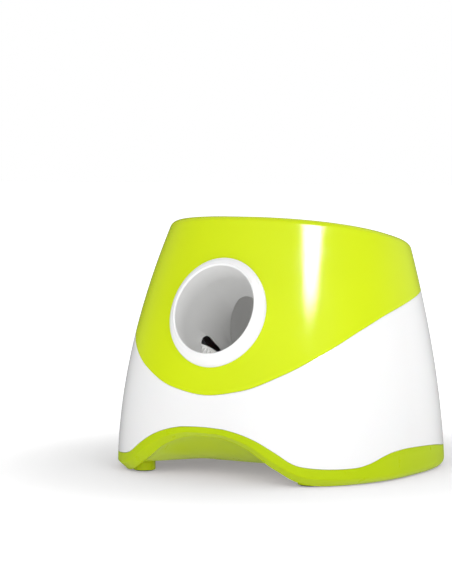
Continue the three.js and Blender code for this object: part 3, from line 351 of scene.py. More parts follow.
@dataclass(frozen=True)
class SolderMask(Finish):
    """Solder mask on glass-fibre board: the weave shows faintly through green lacquer."""

    track: str
    weave_mm: float

    def surface(self, canvas: Canvas) -> dict[str, object]:
        """A brick-like track pattern under a glossy coat.

        Args:
            canvas: The material in the making.

        Returns:
            Values or sockets, by the name of the shader's input.
        """
        inputs = {"Vector": canvas.place, "Scale": 1 / (self.weave_mm * MM)}
        inputs.update({"Color1": srgb(self.colour), "Color2": srgb(self.track), "Mortar": srgb(self.colour)})
        weave = add_node(canvas.tree, "ShaderNodeTexBrick", None, inputs)
        return {"Base Color": weave.outputs["Color"], "Roughness": 0.3, "IOR": 1.5, "Coat Weight": 0.4}


@dataclass(frozen=True)
class PaperSweep(Finish):
    """Matte white paper that glows, dimly near the launcher, which paints shade on the floor round it, and
    more away from it, so that its far part goes white.
    """

    fibre_mm: float = 30.0
    dullness: Pair = (0.75, 0.85)
    # Glow near the launcher and far off: the low glow near it is painted shade on the floor
    glow: Pair = (0.15, 0.6)
    painted_shade_reach: Pair = (0.14, 0.4)

    def surface(self, canvas: Canvas) -> dict[str, object]:
        """A dull skin with a faint fibre pattern and a glow that grows outward, dim near the launcher as
        painted shade.

        Args:
            canvas: The material in the making.

        Returns:
            Values or sockets, by the name of the shader's input.
        """
        away = add_node(canvas.tree, "ShaderNodeVectorMath", {"operation": "LENGTH"}, {0: canvas.place})
        inputs = {
            "Value": away.outputs["Value"], "From Min": self.painted_shade_reach[0], "From Max": self.painted_shade_reach[1],
            "To Min": self.glow[0], "To Max": self.glow[1],
        }
        glow = add_node(canvas.tree, "ShaderNodeMapRange", SMOOTH, inputs).outputs["Result"]
        return {
            "Base Color": srgb(self.colour), "Roughness": canvas.patches(self.fibre_mm, self.dullness),
            "Specular IOR Level": 0.1, "Emission Color": srgb("#FFFFFF"), "Emission Strength": glow,
        }


FINISHES = {
    # Polished mould, so it mirrors the lights with soft edges
    "lime_shell": MouldedAbs(
        "polished_lime_abs", "#D8EC10", "#D4E80C", 0.15, 2.6, 0.006,
        glow=0.05, bounce="#CDC7C5", specular=0.22,
    ),
    # Satin mould, so its recesses go dull and deep
    "lime_base": MouldedAbs(
        "satin_lime_abs", "#C0D80E", "#BAD20A", 0.3, 1.4, 0.008,
        glow=0.05, bounce="#C6C0BE", specular=0.1,
    ),
    # Polished mould, brilliant white
    "white_shell": MouldedAbs("polished_white_abs", "#FBFBFB", "#F9F9F9", 0.2, 2.6, 0.005, glow=0.03),
    # Unpolished inner mouldings, a shade greyer
    "inner_white": MouldedAbs("satin_white_abs", "#E4E4E3", "#DEDEDD", 0.38, 1.2, 0.012),
    # Moulded acetal, waxy and half dull as gears are
    "grey_acetal": MouldedAbs("grey_acetal", "#8E9092", "#86888A", 0.42, 0.9, 0.01, ior=1.48),
    # Spark-eroded mould, which leaves a fine matte grain
    "dark_plastic": MouldedAbs("grained_black_abs", "#26282A", "#222426", 0.55, 0.5, 0.02),
    # Film shrunk tight on the cell, with long shallow waves
    "cell_jacket": MouldedAbs("shrunk_cell_jacket", "#3A3F46", "#343940", 0.32, 3.0, 0.01),
    # Moulded soft and pale, dull enough to grip
    "wheel_rubber": MouldedRubber("pale_ribbed_elastomer", "#F0F0EE", "#E6E6E3", 0.55, 0.7),
    # Moulded hard and black, the dullest piece
    "foot_rubber": MouldedRubber("black_foot_rubber", "#232323", "#2E2E2E", 0.8, 0.5),
    # Drawn and zinc plated, so bluish with lines along the draw
    "steel": PlatedSteel("zinc_plated_steel", "#C3C6C9", 0.3, 0.4),
    # Rolled and nickel plated, warmer and finer lined
    "nickel": PlatedSteel("nickel_plated_strip", "#D3D0C8", 0.28, 0.3),
    # Moulded clear, so smooth that it hardly scatters
    "clear_lens": ClearLens("clear_polycarbonate", "#E3EFDF", 1.5),
    # Lacquered board, its weave drawn coarser than the real one so that it shows
    "board_green": SolderMask("solder_mask", "#12563A", "#0E4A30", 2.4),
}


# Mesh making


def lerp(start: float, end: float, share: float) -> float:
    """Value at a share of the way from start to end; arrays work as well."""
    return start + (end - start) * share


def closed_piece(name: str, vertices: np.ndarray, faces: Sequence[Sequence[int]]) -> Piece:
    """Makes an object from millimetre points, welds what coincides and turns its faces outward.

    Args:
        name: The object's name.
        vertices: Points as rows of x, y and z.
        faces: Corner numbers of each face.

    Returns:
        The new object, at the origin.
    """
    mesh = bpy.data.meshes.new(name)
    mesh.from_pydata((np.asarray(vertices, float) * MM).tolist(), [], [list(face) for face in faces])
    work = bmesh.new()
    work.from_mesh(mesh)
    bmesh.ops.remove_doubles(work, verts=work.verts, dist=WELD * MM)
    bmesh.ops.recalc_face_normals(work, faces=work.faces)
    work.to_mesh(mesh)
    work.free()
    piece = bpy.data.objects.new(name, mesh)
    bpy.context.scene.collection.objects.link(piece)
    return piece


def inside(rows: Sequence[np.ndarray]) -> list[np.ndarray]:
    """Keeps a piece's rows inside the box of the solids."""
    return [np.clip(row, np.array(CAD_BOX[0]) / MM, np.array(CAD_BOX[1]) / MM) for row in rows]


def swept(name: str, rows: Sequence[np.ndarray], closed: bool = True) -> Piece:
    """Sweeps a section round a loop.

    Args:
        name: The object's name.
        rows: The section's points in order, each as an array with one place per step of the loop.
        closed: True if the section closes on itself, False if it starts and ends on a pole.

    Returns:
        The swept solid.
    """
    grid = np.stack(rows, axis=1)
    steps, count = grid.shape[:2]
    spans = count if closed else count - 1
    faces = []
    for step in range(steps):
        here, there = step * count, (step + 1) % steps * count
        for row in range(spans):
            after = (row + 1) % count
            faces.append((here + row, there + row, there + after, here + after))
    return closed_piece(name, grid.reshape(-1, 3), faces)


def turned(name: str, profile: Sequence[Pair], steps: int) -> Piece:
    """Turns a profile about Z.

    Args:
        name: The object's name.
        profile: Radius and height pairs. They start and end on the axis, or close on themselves.
        steps: How many faces go round.

    Returns:
        The turned solid.
    """
    angles = np.arange(steps) * 2 * math.pi / steps
    across, along = np.cos(angles), np.sin(angles)
    rows = [np.stack([r * across, r * along, np.full(steps, z)], axis=-1) for r, z in profile]
    on_axis = profile[0][0] == 0 and profile[-1][0] == 0
    return swept(name, rows, closed=not on_axis)


def rod(
    name: str, radius: float, low: float, high: float, steps: int = 64, place: Pair = (0.0, 0.0),
) -> Piece:
    """A plain round bar that stands along Z, used to join and to cut.

    Args:
        name: The object's name.
        radius: Its radius.
        low: Height of its foot.
        high: Height of its top.
        steps: How many faces go round.
        place: Where it stands.

    Returns:
        The bar.
    """
    bar = turned(name, [(0, low), (radius, low), (radius, high), (0, high)], steps)
    return moved(bar, shift(*place))


def prism(name: str, outline: np.ndarray, low: float, high: float) -> Piece:
    """Extrudes a closed outline along Z.

    Args:
        name: The object's name.
        outline: Rows of x and y.
        low: Height of its underside.
        high: Height of its top.

    Returns:
        The extruded solid.
    """
    count = len(outline)
    points = [(x, y, z) for z in (low, high) for x, y in outline]
    faces = [list(range(count)), [count + place for place in range(count)]]
    for place in range(count):
        after = (place + 1) % count
        faces.append([place, after, count + after, count + place])
    return closed_piece(name, np.array(points), faces)


def box_piece(name: str, low: Sequence[float], high: Sequence[float]) -> Piece:
    """A block between two corners, used to join and to cut."""
    outline = np.array([(low[0], low[1]), (high[0], low[1]), (high[0], high[1]), (low[0], high[1])])
    return prism(name, outline, low[2], high[2])


def rounded_outline(width: float, tall: float, corner: float, steps: int = 8) -> np.ndarray:
    """Outline of a rectangle with round corners, about its middle.

    Args:
        width: Its size along X.
        tall: Its size along Y.
        corner: Radius of its corners.
        steps: How many sides a corner has.

    Returns:
        Rows of x and y.
    """
    points = []
    for turn, (side_x, side_y) in enumerate([(1, 1), (-1, 1), (-1, -1), (1, -1)]):
        middle = (side_x * (width / 2 - corner), side_y * (tall / 2 - corner))
        for step in range(steps + 1):
            angle = (turn + step / steps) * math.pi / 2
            points.append((middle[0] + corner * math.cos(angle), middle[1] + corner * math.sin(angle)))
    return np.array(points)


def moved(piece: Piece, matrix: Matrix) -> Piece:
    """Moves a piece's mesh and leaves the object at the origin.

    Args:
        piece: The piece.
        matrix: The move, in millimetres.

    Returns:
        The piece.
    """
    scaled = matrix.copy()
    scaled.translation = matrix.translation * MM
    piece.data.transform(scaled)
    if scaled.determinant() < 0:
        piece.data.flip_normals()
    return piece


def shift(x: float = 0.0, y: float = 0.0, z: float = 0.0) -> Matrix:
    """A move in millimetres."""
    return Matrix.Translation((x, y, z))


def spin(degrees: float, axis: str) -> Matrix:
    """A turn about one of the frame's axes."""
    return Matrix.Rotation(math.radians(degrees), 4, axis)


def apply_modifiers(piece: Piece) -> Piece:
    """Writes a piece's modifiers into its mesh.

    Args:
        piece: The piece.

    Returns:
        The piece, with no modifiers left.
    """
    evaluated = piece.evaluated_get(bpy.context.evaluated_depsgraph_get())
    result = bpy.data.meshes.new_from_object(evaluated)
    old = piece.data
    piece.modifiers.clear()
    piece.data = result
    bpy.data.meshes.remove(old)
    return piece


def combine(piece: Piece, action: Cut, *others: Piece) -> Piece:
    """Joins solids to a piece or cuts them from it, and deletes them.

    Args:
        piece: The solid that stays.
        action: What each of the others does to it.
        others: The solids that are used up.

    Returns:
        The piece.
    """
    for other in others:
        modifier = piece.modifiers.new("solid", "BOOLEAN")
        modifier.operation = action.value
        modifier.solver = "MANIFOLD"
        modifier.object = other
        apply_modifiers(piece)
        bpy.data.objects.remove(other)
    return piece


def soften(piece: Piece, width_mm: float, segments: int = 2) -> Piece:
    """Rounds a piece's sharp edges.

    Args:
        piece: The piece.
        width_mm: How wide the rounding is.
        segments: How many faces it has across.

    Returns:
        The piece.
    """
    modifier = piece.modifiers.new("edge", "BEVEL")
    modifier.width = width_mm * MM
    modifier.segments = segments
    modifier.limit_method = "ANGLE"
    modifier.angle_limit = math.radians(SHARP_DEG)
    return apply_modifiers(piece)


def shade(piece: Piece, crease_deg: float = CREASE_DEG) -> Piece:
    """Shades a piece smooth, with creases.

    Args:
        piece: The piece.
        crease_deg: Faces that meet at more than this keep a crease.

    Returns:
        The piece.
    """
    piece.data.shade_smooth()
    piece.data.set_sharp_from_angle(angle=math.radians(crease_deg))
    return piece


def read_shares(table: Sequence[Pair], place: float) -> float:
    """Reads a smooth curve, flat at both ends and at each turning point.

    Args:
        table: Places and the curve's shares there, in order.
        place: Where it is read.

    Returns:
        The share at the place.
    """
    right = next((row for row, (at, _) in enumerate(table) if at >= place), len(table) - 1)
    right = max(right, 1)
    left = right - 1

    def slope(row: int) -> float:
        """Slope of the curve at one of its points.

        Args:
            row: The point's number.

        Returns:
            The slope, which is 0 at both ends and at a turning point.
        """
        if row <= 0 or row >= len(table) - 1:
            return 0.0
        before = (table[row][1] - table[row - 1][1]) / (table[row][0] - table[row - 1][0])
        after = (table[row + 1][1] - table[row][1]) / (table[row + 1][0] - table[row][0])
        return 0.0 if before * after <= 0 else 2 * before * after / (before + after)

    span = table[right][0] - table[left][0]
    t = min(max((place - table[left][0]) / span, 0.0), 1.0)
    rise = t * t * (3 - 2 * t)
    bend = t * (1 - t) * (1 - t) * span * slope(left) + t * t * (t - 1) * span * slope(right)
    return table[left][1] * (1 - rise) + table[right][1] * rise + bend


def read_folded(table: Sequence[Pair], angles: np.ndarray) -> np.ndarray:
    """Reads a curve that is the same on both sides of the launcher."""
    return np.array([read_shares(table, 360 - angle if angle > 180 else angle) for angle in angles])


# Forms that several pieces share


@dataclass(frozen=True)
class Casing:
    """The launcher's outer form. Every level is a superellipse whose half sizes shrink towards the rim.

    Angles run in degrees from the front centre over the right side (90) to the back centre (180).
    """

    height: float = 232.0
    half_widths: Pair = (140.0, 102.0)
    fronts: Pair = (136.0, 74.0)
    backs: Pair = (133.2, 95.5)
    curve_shares: tuple[float, float, float] = (1.89, 1.83, 1.3)
    square_shares: tuple[float, float, float] = (2.6, 2.5, 2.3)
    wall: float = 3.0
    seam: float = 0.25
    lap_height: float = 6.0
    lap_wall: float = 2.0
    lap_play: float = 0.6
    rim_height: float = 213.0
    rim_fall: float = 0.2
    rim_round: float = 5.0
    lip_inset: float = 9.0
    lip_thickness: float = 3.0
    steps: int = 264
    crowding_share: float = 0.3
    edge_round: float = 0.25
    rim_passes: int = 12

    def level(self, z: np.ndarray, inset: float) -> tuple[np.ndarray, ...]:
        """Half width, front, back and squareness of the form at a height.

        Args:
            z: Height in millimetres.
            inset: How far inside the skin.

        Returns:
            The half width, the front and back ends along Y, and the superellipse's exponent.
        """
        t = np.maximum(z, 0) / self.height
        width_share, front_share, back_share = self.curve_shares
        half = lerp(*self.half_widths, t**width_share) - inset
        front = -lerp(*self.fronts, t**front_share) + inset
        back = lerp(*self.backs, t**back_share) - inset
        low, middle, high = self.square_shares
        square = low * (1 - t) * (1 - 2 * t) + 4 * middle * t * (1 - t) + high * t * (2 * t - 1)
        return half, front, back, square

    def point(self, angle: np.ndarray, z: np.ndarray, inset: float = 0.0, shrink: float = 1.0) -> np.ndarray:
        """Points of the form.

        Args:
            angle: Angles round the form, in degrees.
            z: Heights, one or as many as there are angles.
            inset: How far inside the skin.
            shrink: Share of the way out from the form's middle.

        Returns:
            Rows of x, y and z.
        """
        z = np.broadcast_to(np.asarray(z, float), np.shape(angle))
        half, front, back, square = self.level(z, inset)
        turn = np.radians(np.asarray(angle, float) - 90)
        cos, sin = np.cos(turn), np.sin(turn)
        reach = (np.abs(cos) ** square + np.abs(sin) ** square) ** (-1 / square)
        x = half * reach * cos * shrink
        y = (front + back) / 2 + (back - front) / 2 * reach * sin * shrink
        return np.stack([x, y, z], axis=-1)

    def rim(self, angle: np.ndarray, inset: float, drop: float) -> np.ndarray:
        """Points on the leaning plane of the rim, or below it.

        Args:
            angle: Angles round the form, in degrees.
            inset: How far inside the skin.
            drop: How far below the rim's plane.

        Returns:
            Rows of x, y and z.
        """
        z = np.full(np.shape(angle), self.rim_height - drop)
        for _ in range(self.rim_passes):
            z = self.rim_height - self.rim_fall * self.point(angle, z, inset)[..., 1] - drop
        return self.point(angle, z, inset)

    def loop(self) -> np.ndarray:
        """Angles of one turn, crowded at the front and the back, where the edges curve most."""
        share = np.arange(self.steps) / self.steps
        return 360 * share - self.crowding_share * 180 / math.pi * np.sin(4 * math.pi * share) / 2

    @property
    def lap_inset(self) -> float:
        """Inset of the outer face of a lap behind the wall."""
        return self.wall + self.lap_play

    @property
    def lap_inner(self) -> float:
        """Inset of the inner face of a lap behind the wall."""
        return self.lap_inset + self.lap_wall

    def rounding(self, angle: np.ndarray, height: np.ndarray, way: int) -> list[np.ndarray]:
        """Rounds an edge of the skin.

        Args:
            angle: Angles round the form, in degrees.
            height: Heights of the edge.
            way: 1 where the skin goes up from the edge, -1 where it comes up to it.

        Returns:
            Two rows of points, in the order of going up.
        """
        soft, middle = self.edge_round, ROUND_SHARE * self.edge_round
        rows = [self.point(angle, height, soft), self.point(angle, height + way * middle, middle)]
        return rows[::way]

    def lap(self, angle: np.ndarray, height: np.ndarray) -> list[np.ndarray]:
        """The lap that stands up behind the wall above it.

        Args:
            angle: Angles round the form, in degrees.
            height: Heights of the seam.

        Returns:
            Three rows of points, from the lap's foot over its top.
        """
        top = height + self.lap_height
        places = ((height, self.lap_inset), (top, self.lap_inset), (top, self.lap_inner))
        return [self.point(angle, z, inset) for z, inset in places]


@dataclass(frozen=True)
class Seams:
    """The two wavy seams round the casing: coloured to white, and white to base."""

    split_low: float = 75.2
    split_high: float = 166.0
    split_shares: tuple[Pair, ...] = (
        (0, 0), (15, 0.057), (30, 0.214), (45, 0.42), (60, 0.615),
        (75, 0.745), (90, 0.82), (110, 0.9), (135, 0.965), (180, 1),
    )
    wave_low: float = 14.0
    wave_high: float = 49.5
    wave_shares: tuple[Pair, ...] = (
        (0, 0.96), (8, 0.94), (13, 0.885), (18, 0.79), (22, 0.68), (26, 0.53), (30, 0.36), (33, 0.22),
        (36, 0.13), (40, 0.08), (46, 0.045), (51, 0.037), (56, 0.045), (62, 0.12), (68, 0.245), (74, 0.325),
        (82, 0.352), (92, 0.33), (105, 0.275), (120, 0.155), (132, 0.08), (145, 0.14), (162, 0.3),
        (180, 0.35),
    )
    edge_low: float = 0.6
    edge_high: float = 43.0
    edge_shares: tuple[Pair, ...] = (
        (0, 0.91), (6, 0.9), (10, 0.86), (15, 0.77), (20, 0.635), (23.25, 0.51), (26.25, 0.39),
        (29.75, 0.275), (33, 0.162), (36, 0.083), (38.5, 0.04), (41.5, 0.012), (46, 0), (180, 0),
    )

    def split(self, angles: np.ndarray) -> np.ndarray:
        """Height of the seam between the coloured and the white shell."""
        return lerp(self.split_low, self.split_high, read_folded(self.split_shares, angles))

    def wave(self, angles: np.ndarray) -> np.ndarray:
        """Height of the seam between the white shell and the base."""
        return lerp(self.wave_low, self.wave_high, read_folded(self.wave_shares, angles))

    def edge(self, angles: np.ndarray) -> np.ndarray:
        """Height of the base's bottom edge, with its arch under the muzzle."""
        return lerp(self.edge_low, self.edge_high, read_folded(self.edge_shares, angles))


@dataclass(frozen=True)
class LaunchAxis:
    """The slanted launch direction. Local Z points out of the tube and local Y is square to it and up."""

    casing: Casing = field(default_factory=Casing)
    height: float = 146.0
    elevation: float = 35.0
    face_lean: float = 20.0
    search_reach: float = 60.0
    search_steps: int = 40

    @property
    def matrix(self) -> Matrix:
        """Matrix of the launch frame in the launcher's frame."""
        front = float(self.casing.level(np.array(self.height), 0.0)[1])
        return shift(0, front, self.height) @ spin(90 - self.elevation, "X")

    @property
    def shear(self) -> float:
        """Angle between the muzzle's face and a face square to the tube, in radians."""
        return math.radians(self.elevation - self.face_lean)

    def lean(self, piece: Piece) -> Piece:
        """Leans the ends of a turned piece so that they lie along the casing's front.

        Args:
            piece: The piece, in the launch frame.

        Returns:
            The piece.
        """
        matrix = Matrix.Identity(4)
        matrix[1][1] = math.cos(self.shear)
        matrix[2][1] = math.sin(self.shear)
        return moved(piece, matrix)

    def ring(self, shares: np.ndarray, radius: float, height: np.ndarray) -> np.ndarray:
        """Points round the leaning face of the muzzle.

        Args:
            shares: Places round it, as shares of a turn.
            radius: Their distance from the launch direction.
            height: Heights over the face.

        Returns:
            Rows of x, y and z in the launch frame.
        """
        turn = 2 * math.pi * shares
        along = radius * np.sin(turn)
        over = along * math.sin(self.shear) + height
        return np.stack([radius * np.cos(turn), along * math.cos(self.shear), over], axis=-1)

    def skin_drop(self, shares: np.ndarray, radius: float, inset: float) -> np.ndarray:
        """How far over the muzzle's face the casing's skin lies, along the launch direction.

        Args:
            shares: Places round the muzzle, as shares of a turn.
            radius: Their distance from the launch direction.
            inset: How far inside the skin.

        Returns:
            One height for each place.
        """
        points = self.ring(shares, radius, np.zeros(len(shares)))
        matrix = np.array(self.matrix)
        low = np.full(len(shares), -self.search_reach)
        high = np.full(len(shares), self.search_reach)
        for _ in range(self.search_steps):
            middle = (low + high) / 2
            local = np.stack([points[:, 0], points[:, 1], middle], axis=-1)
            world = local @ matrix[:3, :3].T + matrix[:3, 3]
            half, front, back, square = self.casing.level(world[:, 2], inset)
            centre, reach = (front + back) / 2, (back - front) / 2
            across, deep = np.abs(world[:, 0] / half), np.abs((world[:, 1] - centre) / reach)
            outside = across**square + deep**square > 1
            high = np.where(outside, middle, high)
            low = np.where(outside, low, middle)
        return (low + high) / 2 - points[:, 2]


class Workshop:
    """Dresses pieces: gives each the finish of its CAD node's slot and that node's body, and hides the CAD
    node that it stands for.
    """

    def __init__(self) -> None:
        """Builds every finish once."""
        self.finishes = {slot: finish.build() for slot, finish in FINISHES.items()}
        self.slots = {row["node"]: row["material_slot"] for row in frame["record"]["subparts"]}
        self.bodies = {
            node: body for body, nodes in frame["record"]["behaviour"]["bodies"].items() for node in nodes
        }

    def place(self, piece: Piece, node: str, crease_deg: float = CREASE_DEG) -> Piece:
        """Finishes a piece that stands for one CAD node.

        Args:
            piece: The new piece, in place.
            node: The CAD node whose body, finish and place it takes.
            crease_deg: Faces that meet at more than this keep a crease.

        Returns:
            The piece.
        """
        shade(piece, crease_deg)
        piece.data.materials.clear()
        piece.data.materials.append(self.finishes[self.slots[node]])
        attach(piece, self.bodies[node])
        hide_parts(node)
        LOG.info("%s stands for %s, %d faces", piece.name, node, len(piece.data.polygons))
        return piece

    def dress_node(self, node: str, finish: str | None = None) -> None:
        """Dresses a CAD node that stays in view.

        Args:
            node: The CAD node.
            finish: The slot whose finish it gets, if that isn't its own.
        """
        piece = frame["nodes"][node]
        piece.data.materials.clear()
        piece.data.materials.append(self.finishes[finish or self.slots[node]])
        for polygon in piece.data.polygons:
            polygon.material_index = 0


# Sub-assemblies


@dataclass
class ControlPanel:
    """The recessed panel at the back: two buttons, three lenses and the power inlet."""

    casing: Casing
    height: float = 74.0
    width: float = 74.0
    tall: float = 34.0
    wall: float = 2.6
    recess: float = 2.4
    corner: float = 6.0
    button_radii: Pair = (7.0, 5.0)
    button_x: Pair = (-20.0, -2.0)
    button_proud: float = 2.2
    button_depth: float = 7.0
    button_flange: float = 1.5
    button_edge: float = 0.8
    button_dish: float = 0.5
    lens_radius: float = 2.2
    lens_depth: float = 4.0
    lens_proud: float = 0.5
    lens_pitch: float = 7.0
    lens_x: float = 14.0
    jack_radius: float = 4.2
    jack_bore: float = 2.6
    jack_pin: float = 0.9
    jack_pin_drop: float = 1.0
    jack_pin_edge: float = 0.5
    jack_depth: float = 11.0
    jack_floor: float = 2.0
    jack_chamfer: float = 0.4
    jack_x: float = 29.0
    standoff: float = 11.0
    post_radius: float = 1.8
    post_place: Pair = (31.0, 9.0)
    plate_edge: float = 0.35

    @property
    def matrix(self) -> Matrix:
        """Panel frame: local Z points out of the back and local Y runs up the casing."""
        low = float(self.casing.level(np.array(self.height - self.tall / 2), 0.0)[2])
        high = float(self.casing.level(np.array(self.height + self.tall / 2), 0.0)[2])
        lean = math.degrees(math.atan2(low - high, self.tall))
        back = float(self.casing.level(np.array(self.height), 0.0)[2])
        return shift(0, back, self.height) @ spin(180, "Z") @ spin(90 - lean, "X")

    @property
    def face(self) -> float:
        """Height of the panel's face in its own frame."""
        return -self.recess

    def hole(self) -> Piece:
        """The opening for the panel in the casing."""
        outline = rounded_outline(self.width, self.tall, self.corner)
        return moved(prism("panel_hole", outline, -OVERRUN, OVERRUN), self.matrix)

    def plate(self) -> Piece:
        """The panel plate with its posts, holes and softened edges."""
        outline = rounded_outline(self.width - 2 * SEAT_GAP, self.tall - 2 * SEAT_GAP, self.corner - SEAT_GAP)
        low = self.face - self.wall
        plate = prism("rear_panel_plate", outline, low, self.face)
        board_top = low - self.standoff
        for side in Side:
            place = (side.value * self.post_place[0], -side.value * self.post_place[1])
            post = rod("post", self.post_radius, board_top + SEAT_GAP, low + self.wall / 2, 32, place)
            combine(plate, Cut.JOIN, post)
        holes = [(x, 0.0, radius) for x, radius in zip(self.button_x, self.button_radii)]
        holes.append((self.jack_x, 0.0, self.jack_radius))
        holes += [(self.lens_x, y, self.lens_radius) for y in self.lens_rows]
        for x, y, radius in holes:
            cutter = rod("hole", radius + SEAT_GAP, self.face - OVERRUN, self.face + OVERRUN, place=(x, y))
            combine(plate, Cut.CARVE, cutter)
        soften(plate, self.plate_edge)
        return moved(plate, self.matrix)

    @property
    def lens_rows(self) -> list[float]:
        """Places of the three lenses along Y."""
        return [step * self.lens_pitch for step in (-1, 0, 1)]

    def button(self, name: str, radius: float, x: float) -> Piece:
        """A push button with a flange behind the panel and a dished top.

        Args:
            name: The piece's name.
            radius: The button's radius.
            x: Its place along the panel.

        Returns:
            The button, in place.
        """
        low = self.face - self.button_depth
        under = self.face - self.wall - SEAT_GAP
        top, edge, flange = self.face + self.button_proud, self.button_edge, radius + self.button_flange
        dish = [(radius * share, top - self.button_dish * (1 - share**2)) for share in (0.75, 0.5, 0.25)]
        profile = [
            (0, low), (flange, low), (flange, under), (radius, under), (radius, top - edge),
            (radius - 0.15 * edge, top - 0.5 * edge), (radius - 0.5 * edge, top - 0.15 * edge),
            (radius - edge, top), *dish, (0, top - self.button_dish),
        ]
        return moved(turned(name, profile, steps=64), self.matrix @ shift(x))

    def lens(self, name: str, y: float) -> Piece:
        """A domed lens in the panel.

        Args:
            name: The piece's name.
            y: Its place up the panel.

        Returns:
            The lens, in place.
        """
        low = self.face - self.lens_depth
        dome = [
            (self.lens_radius * math.cos(turn), self.face + self.lens_proud * math.sin(turn))
            for turn in np.radians([0, 20, 40, 60, 80])
        ]
        profile = [(0, low), (self.lens_radius, low), *dome, (0, self.face + self.lens_proud)]
        return moved(turned(name, profile, steps=40), self.matrix @ shift(self.lens_x, y))

    def inlet(self) -> Piece:
        """The round power inlet with its centre pin."""
        low, chamfer, pin = self.face - self.jack_depth, self.jack_chamfer, self.jack_pin
        floor, tip = low + self.jack_floor, self.face - self.jack_pin_drop
        profile = [
            (0, low), (self.jack_radius, low), (self.jack_radius, self.face - chamfer),
            (self.jack_radius - chamfer, self.face), (self.jack_bore + chamfer, self.face),
            (self.jack_bore, self.face - chamfer), (self.jack_bore, floor), (pin, floor),
            (pin, tip - self.jack_pin_edge), (pin / 2, tip), (0, tip),
        ]
        return moved(turned("round_power_inlet", profile, steps=48), self.matrix @ shift(self.jack_x))

    def build(self, shop: Workshop) -> None:
        """Makes and dresses the panel's pieces.

        Args:
            shop: Dresses each piece.
        """
        shop.place(self.plate(), "control_panel")
        for node, radius, x in zip(("power_button", "level_button"), self.button_radii, self.button_x):
            shop.place(self.button(node.replace("_", "_push_"), radius, x), node)
        for number, y in enumerate(self.lens_rows, start=1):
            shop.place(self.lens(f"domed_lens_{number}", y), f"led_lens_{number}")
        shop.place(self.inlet(), "power_inlet")


@dataclass
class Shells:
    """The coloured upper shell and the white lower shell."""

    casing: Casing
    seams: Seams
    axis: LaunchAxis
    panel: ControlPanel
    hole_radius: float = 42.1
    upper_rows: int = 46
    lower_rows: int = 38
    inner_rows: int = 10

    def upper(self) -> Piece:
        """The upper shell from the seam up to the rolled rim and its inner lip, with the muzzle's hole."""
        casing, angle = self.casing, self.casing.loop()
        low = self.seams.split(angle) + casing.seam / 2
        top = casing.rim(angle, 0, casing.rim_round)[..., 2]
        soft = casing.edge_round
        rows = casing.rounding(angle, low, 1)
        for share in np.linspace(0, 1, self.upper_rows):
            rows.append(casing.point(angle, lerp(low + soft, top, share)))
        for turn in np.radians(np.linspace(10, 90, 9)):
            inset = casing.rim_round * (1 - math.cos(turn))
            rows.append(casing.rim(angle, inset, casing.rim_round * (1 - math.sin(turn))))
        lip, thick, middle = casing.lip_inset, casing.lip_thickness, ROUND_SHARE * soft
        places = (
            (lip - soft, 0), (lip - middle, middle), (lip, soft), (lip, thick), (casing.rim_round, thick),
            (casing.wall, casing.rim_round + casing.wall),
        )
        rows += [casing.rim(angle, inset, drop) for inset, drop in places]
        inner_top = rows[-1][..., 2]
        for share in np.linspace(1 / self.inner_rows, 1, self.inner_rows):
            rows.append(casing.point(angle, lerp(inner_top, low, share), casing.wall))
        shell = swept("rolled_rim_upper_shell", inside(rows))
        hole = self.axis.lean(rod("muzzle_hole", self.hole_radius, -2 * OVERRUN, 2 * OVERRUN, steps=120))
        return combine(shell, Cut.CARVE, moved(hole, self.axis.matrix))

    def lower(self) -> Piece:
        """The white shell between both seams, with a lap behind the upper shell and the panel's opening."""
        casing, angle = self.casing, self.casing.loop()
        low = self.seams.wave(angle) + casing.seam / 2
        top = self.seams.split(angle) - casing.seam / 2
        start, end = low + casing.edge_round, top - casing.edge_round
        rows = casing.rounding(angle, low, 1)
        rows += [casing.point(angle, lerp(start, end, share)) for share in np.linspace(0, 1, self.lower_rows)]
        rows += casing.rounding(angle, top, -1) + casing.lap(angle, top)
        rows.append(casing.point(angle, top - casing.lap_wall, casing.lap_inner))
        inner_top = top - 2 * casing.lap_wall
        for share in np.linspace(0, 1, self.inner_rows):
            rows.append(casing.point(angle, lerp(inner_top, low, share), casing.wall))
        return combine(swept("white_lower_shell", rows), Cut.CARVE, self.panel.hole())

    def build(self, shop: Workshop) -> None:
        """Makes and dresses both shells."""
        shop.place(self.upper(), "upper_shell")
        shop.place(self.lower(), "lower_shell")


